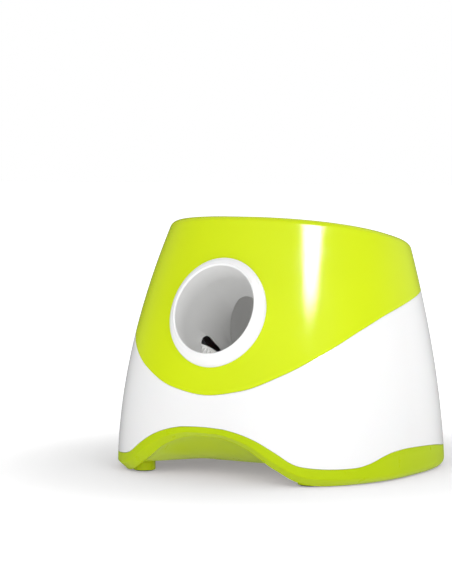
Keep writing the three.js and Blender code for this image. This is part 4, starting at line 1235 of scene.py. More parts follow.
@dataclass
class BatteryBay:
    """The battery bay in the belly: its hollow, its hinged door, six round cells and their springs."""

    y: float = 62.0
    wall: float = 2.5
    play: float = 2.6
    cell_radius: float = 13.0
    cell_length: float = 49.0
    cell_edge: float = 0.8
    cell_step: float = 0.3
    nub_radius: float = 3.0
    nub_length: float = 1.5
    cell_gap: float = 0.8
    rows: int = 3
    door_wall: float = 2.6
    door_edge: float = 0.3
    hinge_radius: float = 2.4
    grip: float = 14.0
    grip_depth: float = 1.0
    grip_width: float = 8.0
    grip_grooves: int = 3
    groove_width: float = 1.6
    strip_wall: float = 0.6
    strip_tall: float = 14.0
    strip_edge: float = 0.12
    wire_radius: float = 0.35
    wire_sides: int = 8
    coil_turns: int = 4
    coil_steps: int = 24
    bottom: float = 4.0

    @property
    def half_x(self) -> float:
        """Half the bay's inner width."""
        return self.cell_length + self.nub_length + self.play

    @property
    def pitch(self) -> float:
        """Distance between two rows of cells."""
        return 2 * self.cell_radius + self.cell_gap

    @property
    def half_y(self) -> float:
        """Half the bay's inner depth."""
        return self.rows * self.pitch / 2 + self.cell_gap

    @property
    def cell_height(self) -> float:
        """Height of the cells' axes."""
        return self.bottom + self.door_wall + 2 * SEAT_GAP + self.cell_radius

    @property
    def roof(self) -> float:
        """Inner height of the bay."""
        return self.cell_height + self.cell_radius + self.cell_gap

    def row_y(self, row: int) -> float:
        """Place of one row of cells along Y."""
        return self.y + (row - (self.rows - 1) / 2) * self.pitch

    def shell(self) -> Piece:
        """The bay's outer block."""
        low = (-self.half_x - self.wall, self.y - self.half_y - self.wall, self.bottom)
        high = (self.half_x + self.wall, self.y + self.half_y + self.wall, self.roof + self.wall)
        return box_piece("bay_shell", low, high)

    def hollow(self) -> Piece:
        """The bay's inner space, open at the bottom."""
        low = (-self.half_x, self.y - self.half_y, -OVERRUN)
        return box_piece("bay_hollow", low, (self.half_x, self.y + self.half_y, self.roof))

    def door(self) -> Piece:
        """The hinged door with its barrel, thumb grip and shallow ribs."""
        half, top = self.half_x - SEAT_GAP, self.bottom + self.door_wall
        hinge_y = self.y + self.half_y - SEAT_GAP - self.hinge_radius
        front = self.y - self.half_y + SEAT_GAP
        plate = box_piece("hinged_battery_door", (-half, front, self.bottom), (half, hinge_y, top))
        barrel = rod("barrel", self.hinge_radius, -half, half, steps=40)
        moved(barrel, shift(0, hinge_y, self.bottom + self.hinge_radius) @ spin(90, "Y"))
        combine(plate, Cut.JOIN, barrel)
        grip_front = self.y - self.half_y + 2 * self.grip_depth
        for step in range(self.grip_grooves):
            y = grip_front + step * self.grip_width / self.grip_grooves
            low = (-self.grip, y, self.bottom - self.grip_depth)
            high = (self.grip, y + self.groove_width, self.bottom + self.grip_depth)
            combine(plate, Cut.CARVE, box_piece("groove", low, high))
        return soften(plate, self.door_edge)

    def cell(self, name: str, row: int, side: Side) -> Piece:
        """A round cell with a shrunk sleeve, a crimped end and its nub.

        Args:
            name: The piece's name.
            row: The row that it lies in.
            side: The side of the bay that it lies on. Its nub points to the middle.

        Returns:
            The cell, in place.
        """
        long, radius, edge, step = self.cell_length, self.cell_radius, self.cell_edge, self.cell_step
        bend, tip = edge / 4, self.cell_length + self.nub_length
        profile = [
            (0, 0), (radius - 2 * edge, 0), (radius - 2 * edge, step), (radius - edge, step),
            (radius - bend, step + bend), (radius, step + edge), (radius, long - step - edge),
            (radius - bend, long - step - bend), (radius - edge, long - step),
            (radius - 2.5 * edge, long - step), (radius - 3 * edge, long), (self.nub_radius, long),
            (self.nub_radius, tip - step), (self.nub_radius - step, tip), (0, tip),
        ]
        matrix = shift(-tip - SEAT_GAP) @ spin(90, "Y")
        if side is Side.RIGHT:
            matrix = spin(180, "Z") @ matrix
        matrix = shift(0, self.row_y(row), self.cell_height) @ matrix
        return moved(turned(name, profile, steps=56), matrix)

    def contact(self, name: str, side: Side) -> Piece:
        """A sprung contact: a flat strip with one tapered coil in each row.

        Args:
            name: The piece's name.
            side: The side of the bay that the strip lies on.

        Returns:
            The strip and its coils as one piece.
        """
        inner = side.value * (self.half_x - SEAT_GAP - self.strip_wall)
        outer = side.value * (self.half_x - SEAT_GAP)
        half_long = self.pitch * self.rows / 2
        low = (min(inner, outer), self.y - half_long, self.cell_height - self.strip_tall / 2)
        high = (max(inner, outer), self.y + half_long, self.cell_height + self.strip_tall / 2)
        strip = soften(box_piece(name, low, high), self.strip_edge, segments=1)
        reach = self.half_x - self.cell_length - self.nub_length - 4 * SEAT_GAP - self.strip_wall
        parts = [strip] + [self.coil(reach, inner, -side.value, self.row_y(row)) for row in range(self.rows)]
        with bpy.context.temp_override(active_object=strip, selected_editable_objects=parts):
            bpy.ops.object.join()
        return strip

    def coil(self, reach: float, base_x: float, way: int, y: float) -> Piece:
        """A tapered wire coil that stands on a strip.

        Args:
            reach: How long it is.
            base_x: Where its foot stands.
            way: The sign of the direction along X that it reaches in.
            y: The place of its axis.

        Returns:
            The coil, in place.
        """
        steps, sides = self.coil_steps * self.coil_turns, self.wire_sides
        reach -= 2 * self.wire_radius
        base = np.array([base_x, y, self.cell_height])
        rings = []
        for share in np.arange(steps + 1) / steps:
            turn = 2 * math.pi * self.coil_turns * share
            radius = lerp(self.cell_radius / 2, self.nub_radius, share)
            out = np.array([0.0, math.cos(turn), math.sin(turn)])
            middle = radius * out + np.array([way * (self.wire_radius + reach * share), 0.0, 0.0])
            for around in 2 * math.pi * np.arange(sides) / sides:
                lift = out * math.cos(around) + np.array([1.0, 0.0, 0.0]) * math.sin(around)
                rings.append(middle + self.wire_radius * lift + base)
        faces = [list(range(sides)), [steps * sides + side for side in range(sides)]]
        for step in range(steps):
            here, there = step * sides, (step + 1) * sides
            for side in range(sides):
                after = (side + 1) % sides
                faces.append([here + side, here + after, there + after, there + side])
        return closed_piece("coil", np.array(rings), faces)

    def build(self, shop: Workshop) -> None:
        """Makes and dresses the door, the cells and the contacts.

        Args:
            shop: Dresses each piece.
        """
        shop.place(self.door(), "battery_door")
        for row in range(self.rows):
            for place, side in enumerate(Side, start=1):
                number = row * len(Side) + place
                shop.place(self.cell(f"round_cell_{number}", row, side), f"battery_cell_{number}")
        for side in Side:
            name = side.name.lower()
            shop.place(self.contact(f"sprung_contact_{name}", side), f"battery_contact_{name}")


@dataclass
class Underside:
    """The base: a wavy trim that tucks under, an arched vault at the front, feet and screws."""

    casing: Casing
    seams: Seams
    bay: BatteryBay
    tuck: float = 6.5
    tuck_height: float = 7.0
    tuck_share: float = 0.5
    tuck_steps: tuple[tuple[float, float, float], ...] = (
        (12, 0.08, 0.99), (26, 0.3, 0.72), (42, 0.6, 0.38), (56, 0.8, 0.17), (67, 0.87, 0.09),
        (78, 0.94, 0.03), (90, 1, 0),
    )
    chamfer_reach: Pair = (45.0, 75.0)
    edge_width: float = 5.0
    edge_lift: float = 0.4
    belly: float = 10.0
    belly_wall: float = 3.0
    vault_start_share: float = 0.5
    vault_rows: int = 16
    front_feet: Pair = (86.0, -96.0)
    back_feet: Pair = (86.0, 92.0)
    foot_radius: float = 10.0
    pad_radius: float = 8.6
    pad_wall: float = 3.0
    pad_edge: float = 1.0
    groove_depth: float = 0.4
    groove_shares: tuple[float, ...] = (0.45, 0.5, 0.58, 0.63)
    socket: float = 2.0
    screw_place: Pair = (60.0, 12.0)
    head_radius: float = 3.6
    head_wall: float = 2.2
    cross: Pair = (2.1, 0.45)
    shank_radius: float = 1.7
    shank: float = 12.0
    shank_room: float = 2.0
    boss_radius: float = 4.6
    boss_height: float = 26.0
    pan_low: float = 4.0
    pan_wall: float = 3.0
    pan_inset: float = 6.7
    hollow_inset: float = 9.4
    hollow_half_width: float = 112.0
    hollow_y: Pair = (-136.0, 14.0)
    hollow_steps: int = 160
    heel_place: Pair = (58.0, -5.0)
    heel_size: Pair = (17.0, 18.0)
    heel_corner: float = 3.0
    heel_lift: float = 1.5

    def pan_slab(self, low: float, high: float, inset: float, grow: float) -> Piece:
        """Slab inside the casing's outline, less the hollow behind the arch.

        Args:
            low: Its underside.
            high: Its top.
            inset: How far inside the casing's skin it ends.
            grow: How much larger the hollow is cut.

        Returns:
            The slab.
        """
        casing, angle = self.casing, self.casing.loop()
        rows = [casing.point(angle, low, inset, 0.0), casing.point(angle, low, inset)]
        rows += [casing.point(angle, high, inset), casing.point(angle, high, inset, 0.0)]
        slab = swept("pan_slab", rows, closed=False)
        return combine(slab, Cut.CARVE, self.hollow(-OVERRUN, 2 * OVERRUN, grow))

    def hollow(self, low: float, high: float, grow: float) -> Piece:
        """The oval hollow behind the arch.

        Args:
            low: Its underside.
            high: Its top.
            grow: How much larger it is cut.

        Returns:
            The hollow as a solid, to cut with.
        """
        turn = 2 * math.pi * np.arange(self.hollow_steps) / self.hollow_steps
        centre, reach = self.hollow_y[0], self.hollow_y[1] - self.hollow_y[0] + grow
        half = self.hollow_half_width + grow
        outline = np.stack([half * np.cos(turn), centre + reach * np.sin(turn)], axis=-1)
        return prism("hollow", outline, low, high)

    def vault(self, angle: np.ndarray, share: float) -> np.ndarray:
        """Height of the belly's underside.

        Args:
            angle: Angles round the casing, in degrees.
            share: Share of the way out from the middle.

        Returns:
            One height for each angle.
        """
        t = min(max((share - self.vault_start_share) / (1 - self.vault_start_share), 0.0), 1.0)
        skirt = np.maximum(self.seams.edge(angle) + self.belly_wall, self.belly)
        return lerp(self.belly, skirt, t * t * (3 - 2 * t))

    def tuck_rows(self, angle: np.ndarray, edge: np.ndarray, rise: np.ndarray) -> list[np.ndarray]:
        """Rows of the trim's foot: a flat chamfer at the arch, which runs into a quarter round at the sides.

        Args:
            angle: Angles round the casing, in degrees.
            edge: Heights of the bottom edge.
            rise: How far up the foot reaches.

        Returns:
            The rows, in the order of going up.
        """
        start, end = self.chamfer_reach
        flat = np.clip((end - np.abs((angle + 180) % 360 - 180)) / (end - start), 0, 1)
        rows = []
        for turn, up, across in self.tuck_steps:
            height = lerp(1 - math.cos(math.radians(turn)), up, flat)
            inset = lerp(1 - math.sin(math.radians(turn)), across, flat)
            rows.append(self.casing.point(angle, edge + rise * height, self.tuck * inset))
        return rows

    def skin(self) -> Piece:
        """The tray's skin: out along the belly, up the trim and its lap, and back in over the belly."""
        casing, angle = self.casing, self.casing.loop()
        edge = self.seams.edge(angle)
        wave = self.seams.wave(angle) - casing.seam / 2
        rise = np.minimum(self.tuck_height, lerp(0, wave - edge, self.tuck_share))
        rim_inset = self.tuck + self.edge_width
        shares = np.concatenate([[0, 0.25], np.linspace(self.vault_start_share, 1, self.vault_rows)])
        rows = [casing.point(angle, self.vault(angle, share), rim_inset, share) for share in shares]
        rows.append(casing.point(angle, edge + self.edge_lift, self.tuck + 1.5 * SEAT_GAP))
        rows.append(casing.point(angle, edge, self.tuck))
        rows += self.tuck_rows(angle, edge, rise)
        start, end = edge + rise, wave - casing.edge_round
        rows += [casing.point(angle, lerp(start, end, share)) for share in (0.25, 0.5, 0.75, 1)]
        rows += casing.rounding(angle, wave, -1) + casing.lap(angle, wave)
        for share in shares[::-1]:
            height = self.vault(angle, share) + self.belly_wall
            rows.append(casing.point(angle, height, rim_inset - self.belly_wall, share))
        return swept("arched_base_tray", inside(rows), closed=False)

    def tray(self) -> Piece:
        """The base tray with its pan, heels, feet posts, battery bay and screw bosses."""
        tray = self.skin()
        floor, belly_top, pan_top = self.pan_low, self.belly + self.belly_wall, self.pan_low + self.pan_wall
        inner = self.pan_slab(pan_top, belly_top + SEAT_GAP, self.hollow_inset, self.pan_wall)
        combine(tray, Cut.JOIN, self.pan_slab(floor, belly_top, self.pan_inset, 0.0))
        combine(tray, Cut.CARVE, inner)
        for side in Side:
            outline = rounded_outline(*self.heel_size, self.heel_corner)
            heel = prism("heel", outline, self.heel_lift, self.belly + self.belly_wall / 2)
            combine(tray, Cut.JOIN, moved(heel, shift(side.value * self.heel_place[0], self.heel_place[1])))
        for place in self.foot_places():
            foot_top = pan_top if place[1] > 0 else self.belly + self.foot_rise(*place)
            low, high = self.pad_wall - self.socket, self.belly_wall / 2 + foot_top
            combine(tray, Cut.JOIN, rod("post", self.foot_radius, low, high, 56, place))
            low, high = -self.pad_wall, self.pad_wall + SEAT_GAP
            combine(tray, Cut.CARVE, rod("cup", self.pad_radius + SEAT_GAP, low, high, 56, place))
        combine(tray, Cut.JOIN, self.bay.shell())
        combine(tray, Cut.CARVE, self.bay.hollow())
        for place in self.screw_places():
            low, sink_top = floor + self.belly_wall / 2, floor + self.head_wall / 2
            combine(tray, Cut.JOIN, rod("boss", self.boss_radius, low, low + self.boss_height, place=place))
            hole_top = floor + self.shank + self.shank_room
            hole = rod("hole", self.shank_radius + SEAT_GAP, floor, hole_top, 40, place)
            sink = rod("sink", self.head_radius + SEAT_GAP, sink_top - OVERRUN, sink_top, 48, place)
            combine(tray, Cut.CARVE, hole, sink)
        return tray

    def foot_places(self) -> list[Pair]:
        """Places of the four feet, in the order of their numbers."""
        return [(side.value * x, y) for side in Side for x, y in (self.front_feet, self.back_feet)]

    def screw_places(self) -> list[Pair]:
        """Places of the two screws, in the order of their numbers."""
        return [(side.value * self.screw_place[0], self.screw_place[1]) for side in Side]

    def foot_rise(self, x: float, y: float) -> float:
        """How far over the flat belly the vault is above a foot.

        Args:
            x: The foot's place along X.
            y: The foot's place along Y.

        Returns:
            The height in millimetres.
        """
        angle = np.array([abs(math.degrees(math.atan2(x, -y)))])
        full = self.casing.point(angle, self.belly, self.tuck + self.edge_width)[0]
        share = math.hypot(x, y) / math.hypot(full[0], full[1])
        return float(self.vault(angle, share)[0]) - self.belly

    def pad(self, name: str, place: Pair) -> Piece:
        """A round rubber foot with a soft edge and a shallow ring groove on its sole.

        Args:
            name: The piece's name.
            place: Where it stands.

        Returns:
            The foot, in place.
        """
        radius, wall, soft, deep = self.pad_radius, self.pad_wall, self.pad_edge, self.groove_depth
        groove = [(radius * share, z) for share, z in zip(self.groove_shares, (0, deep, deep, 0))]
        profile = [
            (0, 0), *groove, (radius - soft, 0), (radius - 0.5 * soft, 0.13 * soft),
            (radius - 0.13 * soft, 0.5 * soft), (radius, soft), (radius, wall), (0, wall),
        ]
        return moved(turned(name, profile, steps=56), shift(*place))

    def screw(self, name: str, place: Pair) -> Piece:
        """A pan-head screw, head down, with a cross recess.

        Args:
            name: The piece's name.
            place: Where its axis is.

        Returns:
            The screw, in place.
        """
        top = self.pan_low + self.head_wall / 2 - SEAT_GAP
        tip = top + self.shank
        head = [
            (self.head_radius * math.sin(turn), top - self.head_wall * lerp(0.5, 1, math.cos(turn)))
            for turn in np.radians([0, 20, 40, 60, 75, 90])
        ]
        shank = [(self.head_radius, top), (self.shank_radius, top), (self.shank_radius, tip), (0, tip)]
        body = turned(name, [*head, *shank], steps=48)
        low, deep = top - self.head_wall - 1, top - 0.5 * self.head_wall
        for long, wide in (self.cross, self.cross[::-1]):
            combine(body, Cut.CARVE, box_piece("cross", (-long, -wide, low), (long, wide, deep)))
        return moved(body, shift(*place))

    def build(self, shop: Workshop) -> None:
        """Makes and dresses the base, its feet and its screws.

        Args:
            shop: Dresses each piece.
        """
        shop.place(self.tray(), "base_tray")
        for number, place in enumerate(self.foot_places(), start=1):
            shop.place(self.pad(f"rubber_foot_{number}", place), f"foot_pad_{number}")
        for number, place in enumerate(self.screw_places(), start=1):
            shop.place(self.screw(f"pan_head_screw_{number}", place), f"base_screw_{number}")


@dataclass(frozen=True)
class FeedSlot:
    """The slot in the tube's floor that the feed arm swings through."""

    width: float = 15.0
    start: float = 97.0
    low: float = -50.0
    top: float = 2.0

    def cutter(self, tube: "LaunchTube") -> Piece:
        """The slot as a block that runs out through the breech."""
        half, back = self.width / 2, tube.length + tube.end_wall + OVERRUN
        return box_piece("arm_slot", (-half, self.low, -back), (half, self.top, -self.start))


@dataclass
class LaunchTube:
    """The muzzle ring and the tube behind it, with its collar, slots and switch rails."""

    axis: LaunchAxis
    steps: int = 112
    outer: float = 48.2
    inner: float = 39.6
    lip: float = 41.4
    lip_rise: float = 5.0
    lip_bead: tuple[Pair, ...] = ((0.25, 0.25), (0.0, 0.08), (-0.4, 0.0), (-0.9, 0.05))
    inner_bead: tuple[Pair, ...] = ((0.3, 0.4), (0.0, 1.1))
    crown_end: Pair = (0.5, 0.7)
    crown_bend: float = 0.8
    crown_bulge: float = 0.3
    edge: float = 2.0
    spigot: float = 41.8
    grip: float = 7.0
    facet_play: float = 1.0
    facet_steps: int = 28
    sleeve_play: float = 0.1
    mouth: float = 39.8
    bore: float = 34.0
    wall: float = 3.0
    taper_end: float = 46.0
    flange: float = 48.0
    flange_wall: float = 3.0
    trim_size: tuple[float, float, float] = (100.0, 150.0, 120.0)
    length: float = 121.0
    end_wall: float = 3.0
    inlet_y: float = -28.0
    inlet_radius: float = 32.3
    inlet_wall: float = 2.5
    inlet_top: float = 167.0
    crease_deg: float = 30.0

    @property
    def shares(self) -> np.ndarray:
        """Places round the tube, as shares of a turn."""
        return np.arange(self.steps) / self.steps

    @property
    def mouth_depth(self) -> float:
        """How deep behind the muzzle's face the tube's front end lies."""
        shares = np.arange(1, self.facet_steps + 1) / self.facet_steps
        drops = self.axis.skin_drop(shares, self.flange, self.axis.casing.wall)
        return float(-drops.min()) + self.facet_play

    def ring(self) -> Piece:
        """The muzzle ring: its outer edge follows the skin and its inner lip stands proud in one plane."""
        shares, axis, half_edge = self.shares, self.axis, self.edge / 2
        foot = axis.skin_drop(shares, self.outer, 0.0) + SEAT_GAP
        seat = axis.skin_drop(shares, self.spigot, 0.0) + SEAT_GAP
        crown = np.maximum(foot + self.edge, foot / 2 + self.edge)
        rows = [axis.ring(shares, self.outer, foot), axis.ring(shares, self.outer, foot + half_edge)]
        for turn in np.radians([30, 60, 90]):
            radius = self.outer - half_edge * (1 - math.cos(turn))
            rows.append(axis.ring(shares, radius, lerp(foot + half_edge, crown, math.sin(turn))))
        start, end = self.outer - half_edge, self.lip + self.crown_end[0]
        lip_foot = self.lip_rise - self.crown_end[1]
        for share in (0.2, 0.4, 0.6, 0.8, 1.0):
            bulge = self.crown_bulge * math.sin(math.pi * share)
            height = lerp(crown, lip_foot, share**self.crown_bend) + bulge
            rows.append(axis.ring(shares, lerp(start, end, share), height))
        for radius, bead in ((self.lip, self.lip_bead), (self.inner, self.inner_bead)):
            for step, drop in bead:
                rows.append(axis.ring(shares, radius + step, np.full(self.steps, self.lip_rise - drop)))
        end_depth = np.full(self.steps, -self.mouth_depth - self.grip)
        rows += [axis.ring(shares, self.inner, end_depth), axis.ring(shares, self.spigot, end_depth)]
        rows.append(axis.ring(shares, self.spigot, seat))
        return moved(swept("beaded_muzzle_ring", rows), axis.matrix)

    def dress_sleeve(self, ring: Piece, shop: Workshop) -> None:
        """Gives the ring's inner sleeve the unpolished finish of the tube that it runs into.

        Args:
            ring: The muzzle ring, dressed.
            shop: Has the finish.
        """
        ring.data.materials.append(shop.finishes["inner_white"])
        to_launch = self.axis.matrix.inverted()
        for polygon in ring.data.polygons:
            place = to_launch @ (polygon.center / MM)
            radius = math.hypot(place.x, place.y / math.cos(self.axis.shear))
            if radius < self.inner + self.sleeve_play and place.z < self.lip_rise:
                polygon.material_index = 1

    @property
    def taper_start(self) -> float:
        """How deep the tube's wide mouth reaches before it tapers to the bore."""
        return self.mouth_depth + 2 * self.grip

    def barrel(self) -> Piece:
        """Outside of the barrel."""
        wide, slim = self.spigot + SEAT_GAP + self.wall, self.bore + self.wall
        end = self.length + self.end_wall
        profile = [
            (0, OVERRUN), (wide, OVERRUN), (wide, -self.taper_start), (slim, -self.taper_end),
            (slim, -end + self.wall), (self.bore, -end), (0, -end),
        ]
        return turned("barrel", profile, self.steps)

    def bore_shape(self) -> Piece:
        """The tube's inner space: a tapered mouth, a round bore and a rounded breech."""
        breech = [
            (self.bore - self.wall * (1 - math.cos(turn)), -self.length + self.wall * (1 - math.sin(turn)))
            for turn in np.radians([0, 30, 60, 90])
        ]
        profile = [(0, OVERRUN), (self.mouth, OVERRUN), (self.mouth, -self.taper_start)]
        profile += [(self.bore, -self.taper_end), *breech, (0, -self.length)]
        return turned("bore", profile, self.steps)

    def tube(self, wheels: "LaunchWheels", lever: "BallLever", feed: FeedSlot) -> Piece:
        """The launch tube.

        Args:
            wheels: The wheel stations, which give the side slots.
            lever: The ball lever, which gives its slot and rails.
            feed: The feed arm's slot.

        Returns:
            The tube with its collar, slots and rails.
        """
        axis, depth, steps, foot = self.axis, self.mouth_depth, self.steps, self.inlet_foot
        inlet = axis.matrix.inverted() @ shift(0, self.inlet_y)
        tube = self.barrel()
        wide, long, tall = self.trim_size
        trim = box_piece("trim", (-wide, -long, 0), (wide, long, tall))
        combine(tube, Cut.CARVE, moved(trim, shift(0, 0, -depth) @ spin(math.degrees(axis.shear), "X")))
        flange = rod("flange", self.flange, -depth - self.flange_wall, -depth, steps)
        combine(tube, Cut.JOIN, axis.lean(flange))
        collar = rod("collar", self.inlet_radius + self.inlet_wall, foot + self.wall, self.inlet_top, steps)
        combine(tube, Cut.JOIN, moved(collar, inlet))
        combine(tube, Cut.JOIN, *lever.rails(self))
        hole = rod("inlet", self.inlet_radius, foot, self.inlet_top + OVERRUN, steps)
        socket_low = -depth - self.grip - SEAT_GAP
        socket = rod("socket", self.spigot + SEAT_GAP, socket_low, 2 * OVERRUN, steps)
        combine(tube, Cut.CARVE, self.bore_shape(), axis.lean(socket))
        combine(tube, Cut.CARVE, moved(hole, inlet))
        combine(tube, Cut.CARVE, wheels.relief(self), wheels.slot(self), feed.cutter(self))
        combine(tube, Cut.CARVE, *lever.cutters(self))
        return moved(tube, axis.matrix)

    @property
    def inlet_foot(self) -> float:
        """Height where the inlet's axis meets the launch axis."""
        front, rise = self.axis.matrix.translation, math.radians(self.axis.elevation)
        inward = (self.inlet_y - front.y) / math.cos(rise)
        return front.z - inward * math.sin(rise)


@dataclass
class BallLever:
    """Sizes of the sprung lever that senses the ball, for the rails and slots in the tube."""

    x: float = 16.0
    width: float = 4.0
    inward: float = 83.0
    drop: float = 37.2
    tip_inward: float = 102.0
    hub_radius: float = 1.6
    axle_radius: float = 1.0
    switch_width: float = 7.0
    switch_length: float = 17.0
    switch_depth: float = 9.0
    rail_wall: float = 2.0
    rail_end: float = 2.0

    @property
    def rail_inner(self) -> float:
        """Half the gap between the rails."""
        return self.switch_width / 2 + SEAT_GAP

    def rails(self, tube: LaunchTube) -> list[Piece]:
        """Two rails under the barrel for the switch and the lever's axle.

        Args:
            tube: The tube that they hang from.

        Returns:
            Both rails.
        """
        low = -self.drop - self.hub_radius - SEAT_GAP - self.switch_depth
        end = -self.inward + self.hub_radius + self.rail_end
        pieces = []
        for side in Side:
            edges = sorted([side.value * self.rail_inner, side.value * (self.rail_inner + self.rail_wall)])
            corner = (self.x + edges[0], low, -self.inward - self.switch_length)
            pieces.append(box_piece("rail", corner, (self.x + edges[1], -tube.bore + 2 * tube.wall, end)))
        return pieces

    def cutters(self, tube: LaunchTube) -> list[Piece]:
        """The lever's slot in the floor and the hole for its axle.

        Args:
            tube: The tube that they are cut in.

        Returns:
            The slot and the hole as solids.
        """
        half = self.width / 2 + 2 * SEAT_GAP
        low = (self.x - half, -self.drop - OVERRUN, -self.tip_inward - tube.wall)
        slot = box_piece("lever_slot", low, (self.x + half, -tube.bore / 2, -self.inward + tube.wall))
        reach = 2 * (self.rail_inner + self.rail_wall)
        hole = rod("axle_hole", self.axle_radius + SEAT_GAP, -reach, reach, steps=32)
        return [slot, moved(hole, shift(self.x, -self.drop, -self.inward) @ spin(90, "Y"))]


@dataclass
class LaunchWheels:
    """Two ribbed wheels that pinch the ball, one at each side of the tube."""

    axis: LaunchAxis
    radius: float = 26.0
    rib_height: float = 1.7
    rib_tread: float = 12.0
    ribs: int = 46
    rib_steps: int = 10
    rib_slope: Pair = (1.5, 3.2)
    rib_edge: Pair = (0.4, 0.9)
    shoulder: float = 0.7
    width: float = 18.0
    nip: float = 46.8
    inward: float = 63.6
    mid_drop: float = 17.0
    hub_radius: float = 19.0
    slot_rise: float = 2.2
    slot_drop: float = 28.0
    slot_corner: float = 9.0
    side_clearance: float = 1.0
    slot_edge: float = 0.8
    crease_deg: float = 50.0

    @property
    def x(self) -> float:
        """Distance of a wheel's axis from the middle."""
        return self.nip / 2 + self.radius

    def station(self, side: Side) -> Matrix:
        """Frame of one wheel: local Z is its spin axis."""
        return self.axis.matrix @ shift(side.value * self.x, 0, -self.inward) @ spin(-90, "X")

    def slot(self, tube: LaunchTube) -> Piece:
        """The slot through both sides of the tube that the wheels reach in by.

        Args:
            tube: The tube that it is cut in.

        Returns:
            The slot as a solid.
        """
        chord = math.sqrt(self.radius**2 - (self.x - tube.bore - tube.wall / 2) ** 2)
        tall = self.slot_rise + self.slot_drop
        outline = rounded_outline(2 * (chord + self.side_clearance), tall, self.slot_corner)
        cutter = prism("side_slot", outline, -2 * tube.bore, 2 * tube.bore)
        return moved(cutter, shift(0, self.slot_rise - tall / 2, -self.inward) @ spin(90, "Y"))

    def relief(self, tube: LaunchTube) -> Piece:
        """The shallow pocket outside the barrel that thins its wall round both slots.

        Args:
            tube: The tube that it is cut in, whose taper it follows.

        Returns:
            The pocket as a solid.
        """
        outer, start, edge = tube.bore + 4 * tube.wall, tube.taper_start, self.slot_edge
        front, back = max(self.inward - self.radius, start + 1), self.inward + self.radius
        share = (front - start) / (tube.taper_end - start)
        profile = [
            (lerp(tube.mouth, tube.bore, share) + edge, -front), (outer, -front), (outer, -back),
            (tube.bore + edge, -back), (tube.bore + edge, -tube.taper_end),
        ]
        low = (-2 * outer, -self.slot_drop - self.slot_corner, -2 * back)
        band = box_piece("band", low, (2 * outer, self.slot_rise + self.slot_corner / 2, 0))
        return combine(turned("relief", profile, tube.steps), Cut.KEEP, band)

    def tyre(self, name: str, side: Side) -> Piece:
        """A tyre with round-topped ribs across its tread and smooth shoulders.

        Args:
            name: The piece's name.
            side: The side of the tube that it sits on.

        Returns:
            The tyre, in place.
        """
        steps = self.ribs * self.rib_steps
        turn = np.arange(steps) * 2 * math.pi / steps
        phase = (np.arange(steps) % self.rib_steps) / self.rib_steps
        rib = np.clip(self.rib_slope[0] - self.rib_slope[1] * np.abs(phase - 0.5), 0, 1)
        rib = rib * rib * (3 - 2 * rib)
        half, tread, soft = self.width / 2, self.rib_tread / 2, self.shoulder
        inner, root, middle = self.hub_radius + SEAT_GAP, self.radius - self.rib_height, ROUND_SHARE * soft
        bevel, lift = self.rib_edge
        flank = [
            (half, inner, 0), (half, root - soft, 0), (half - middle, root - middle, 0),
            (half - soft, root, 0), (tread, root, 0), (tread, root, lift), (tread - bevel, root, 1),
        ]
        levels = [(-z, base, up) for z, base, up in flank] + [(0, root, 1)] + flank[::-1]
        rows = []
        for z, base, up in levels:
            reach, level = base + rib * self.rib_height * up, np.full(steps, z - self.mid_drop)
            rows.append(np.stack([reach * np.cos(turn), reach * np.sin(turn), level], axis=-1))
        return moved(swept(name, rows), self.station(side))

    def build(self, shop: Workshop) -> None:
        """Makes and dresses both tyres.

        Args:
            shop: Dresses each piece.
        """
        for side in Side:
            name = side.name.lower()
            shop.place(self.tyre(f"ribbed_tyre_{name}", side), f"{name}_wheel_tyre", self.crease_deg)


